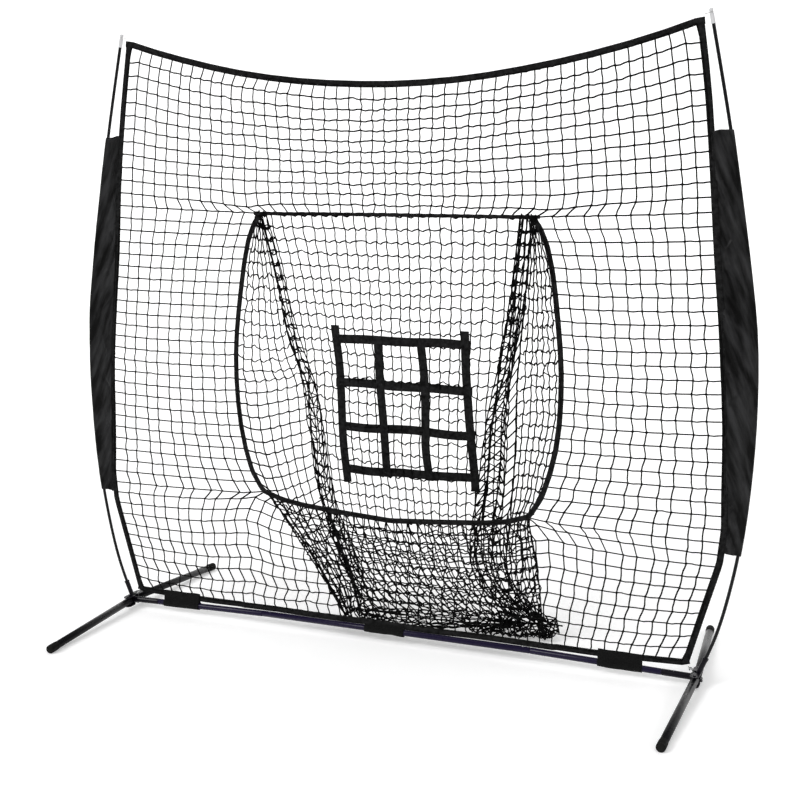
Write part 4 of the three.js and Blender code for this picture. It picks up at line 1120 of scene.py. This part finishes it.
def make_leg(side, end):
    past_pivot, short_of_foot, wall, cap_length = 0.016, 0.0068, 0.0014, 0.0415
    pivot, foot, along = leg_axis(side, end)
    body = f"leg_{side}_{end}"
    start = pivot - along * past_pivot
    stop = foot - along * short_of_foot
    builder = Builder()
    length = float(np.linalg.norm(stop - start))
    builder.turned(start, stop, tube_profile(LEG_R, LEG_R - wall, length))
    builder.make(f"{body}_tube", LEG_PAINT, body, (body,))

    mouth = foot - along * cap_length
    circle = spokes(along, 40, UP)
    rings = np.array([mouth + along * a + circle * r for r, a in cap_profile(cap_length)])
    rings[..., 2] = np.maximum(rings[..., 2], 0.0)
    cap = Builder()
    cap.rings(rings)
    node = f"end_cap_{side}_{end}"
    cap.make(f"{node}_moulded", RUBBER, body, (node,))


def make_base_tube(name):
    """The centre tube is plain. A side tube slopes, and has a neck at each end that plugs in."""
    node = f"base_tube_{name}"
    low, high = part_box(node)
    if name not in SIDES:
        z = 0.5 * (low.z + high.z)
        start, stop = np.array([low.x, 0, z]), np.array([high.x, 0, z])
        profile = tube_profile(BAR_R, BAR_R - 0.0009, high.x - low.x)
    else:
        sign = SIDES[name]
        inner_x, outer_x = (low.x, high.x) if sign > 0 else (high.x, low.x)
        a, b = inner_x + sign * 0.2, outer_x - sign * 0.2
        slope = (bar_height(b) - bar_height(a)) / (b - a)
        start = np.array([inner_x, 0.0, bar_height(a) + slope * (inner_x - a)])
        stop = np.array([outer_x, 0.0, bar_height(a) + slope * (outer_x - a)])
        length = float(np.linalg.norm(stop - start))
        first, last = 0.0512, length - 0.0712  # where the tube swells from its necks
        bore, tip_r, tip, shoulder_r = 0.0075, SPIGOT_R - 0.0006, 0.0008, BAR_R - 0.0006
        profile = [
            (bore, 0.0), (tip_r, 0.0), (SPIGOT_R, tip), (SPIGOT_R, first), (shoulder_r, first + 0.001),
            (BAR_R, first + 0.0035), (BAR_R, last - 0.0035), (shoulder_r, last - 0.001), (SPIGOT_R, last),
            (SPIGOT_R, length - tip), (tip_r, length), (bore, length),
        ]
    builder = Builder()
    builder.turned(start, stop, profile)
    builder.make(f"{node}_steel", BAR_PAINT, replaced=(node,))


def pole_path(side, node, count):
    """The middle of a pole section, smoothed along its bow."""
    low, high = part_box(node)
    path = []
    for z in np.linspace(low.z + 0.004, high.z - 0.002, count):
        near, far = reach(node, (0.0, z), (SIDES[side], 0))
        path.append((SIDES[side] * 0.5 * (near + far), 0.0, z))
    path = np.array(path)
    for _ in range(3):
        path[1:-1] = (path[:-2] + 2 * path[1:-1] + path[2:]) / 4
    return path


def make_poles(side):
    for part in ("lower", "upper"):
        node = f"pole_{part}_{side}"
        rod = Builder()
        rod.tube(pole_path(side, node, 60), ROD_R, 20)
        rod.make(f"{node}_rod", FIBREGLASS, replaced=(node,))
    node = f"pole_ferrule_{side}"
    low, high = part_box(node)
    zs = np.linspace(low.z, high.z, 14)
    inside = np.clip(zs, low.z + 0.002, high.z - 0.002)
    path = np.array([(SIDES[side] * pole_x(side, at), 0, z) for at, z in zip(inside, zs)])
    radius = np.full(len(zs), FERRULE_R)
    radius[[0, -1]] = FERRULE_R - 0.0009
    ferrule = Builder()
    ferrule.tube(path, radius, 24)
    ferrule.make(f"{node}_steel", BLACK_STEEL, replaced=(node,))


for side in SIDES:
    for end in ENDS:
        make_leg(side, end)
for tube in ("centre", "left", "right"):
    make_base_tube(tube)
for side in SIDES:
    make_poles(side)

# CAD nodes that are shown as they are
CARRIED = {
    "snap_button": STEEL,
    "leg_rivet": BLACK_STEEL,
    "corner_bracket": BLACK_STEEL,
    "net_hook": HOOK_STEEL,
    "corner_loop": PALE_CORD,
    "pole_tip": PALE_PLASTIC,
}
for name, node in frame["nodes"].items():
    for start, material in CARRIED.items():
        if name.startswith(start):
            node.data.materials.clear()
            node.data.materials.append(material)
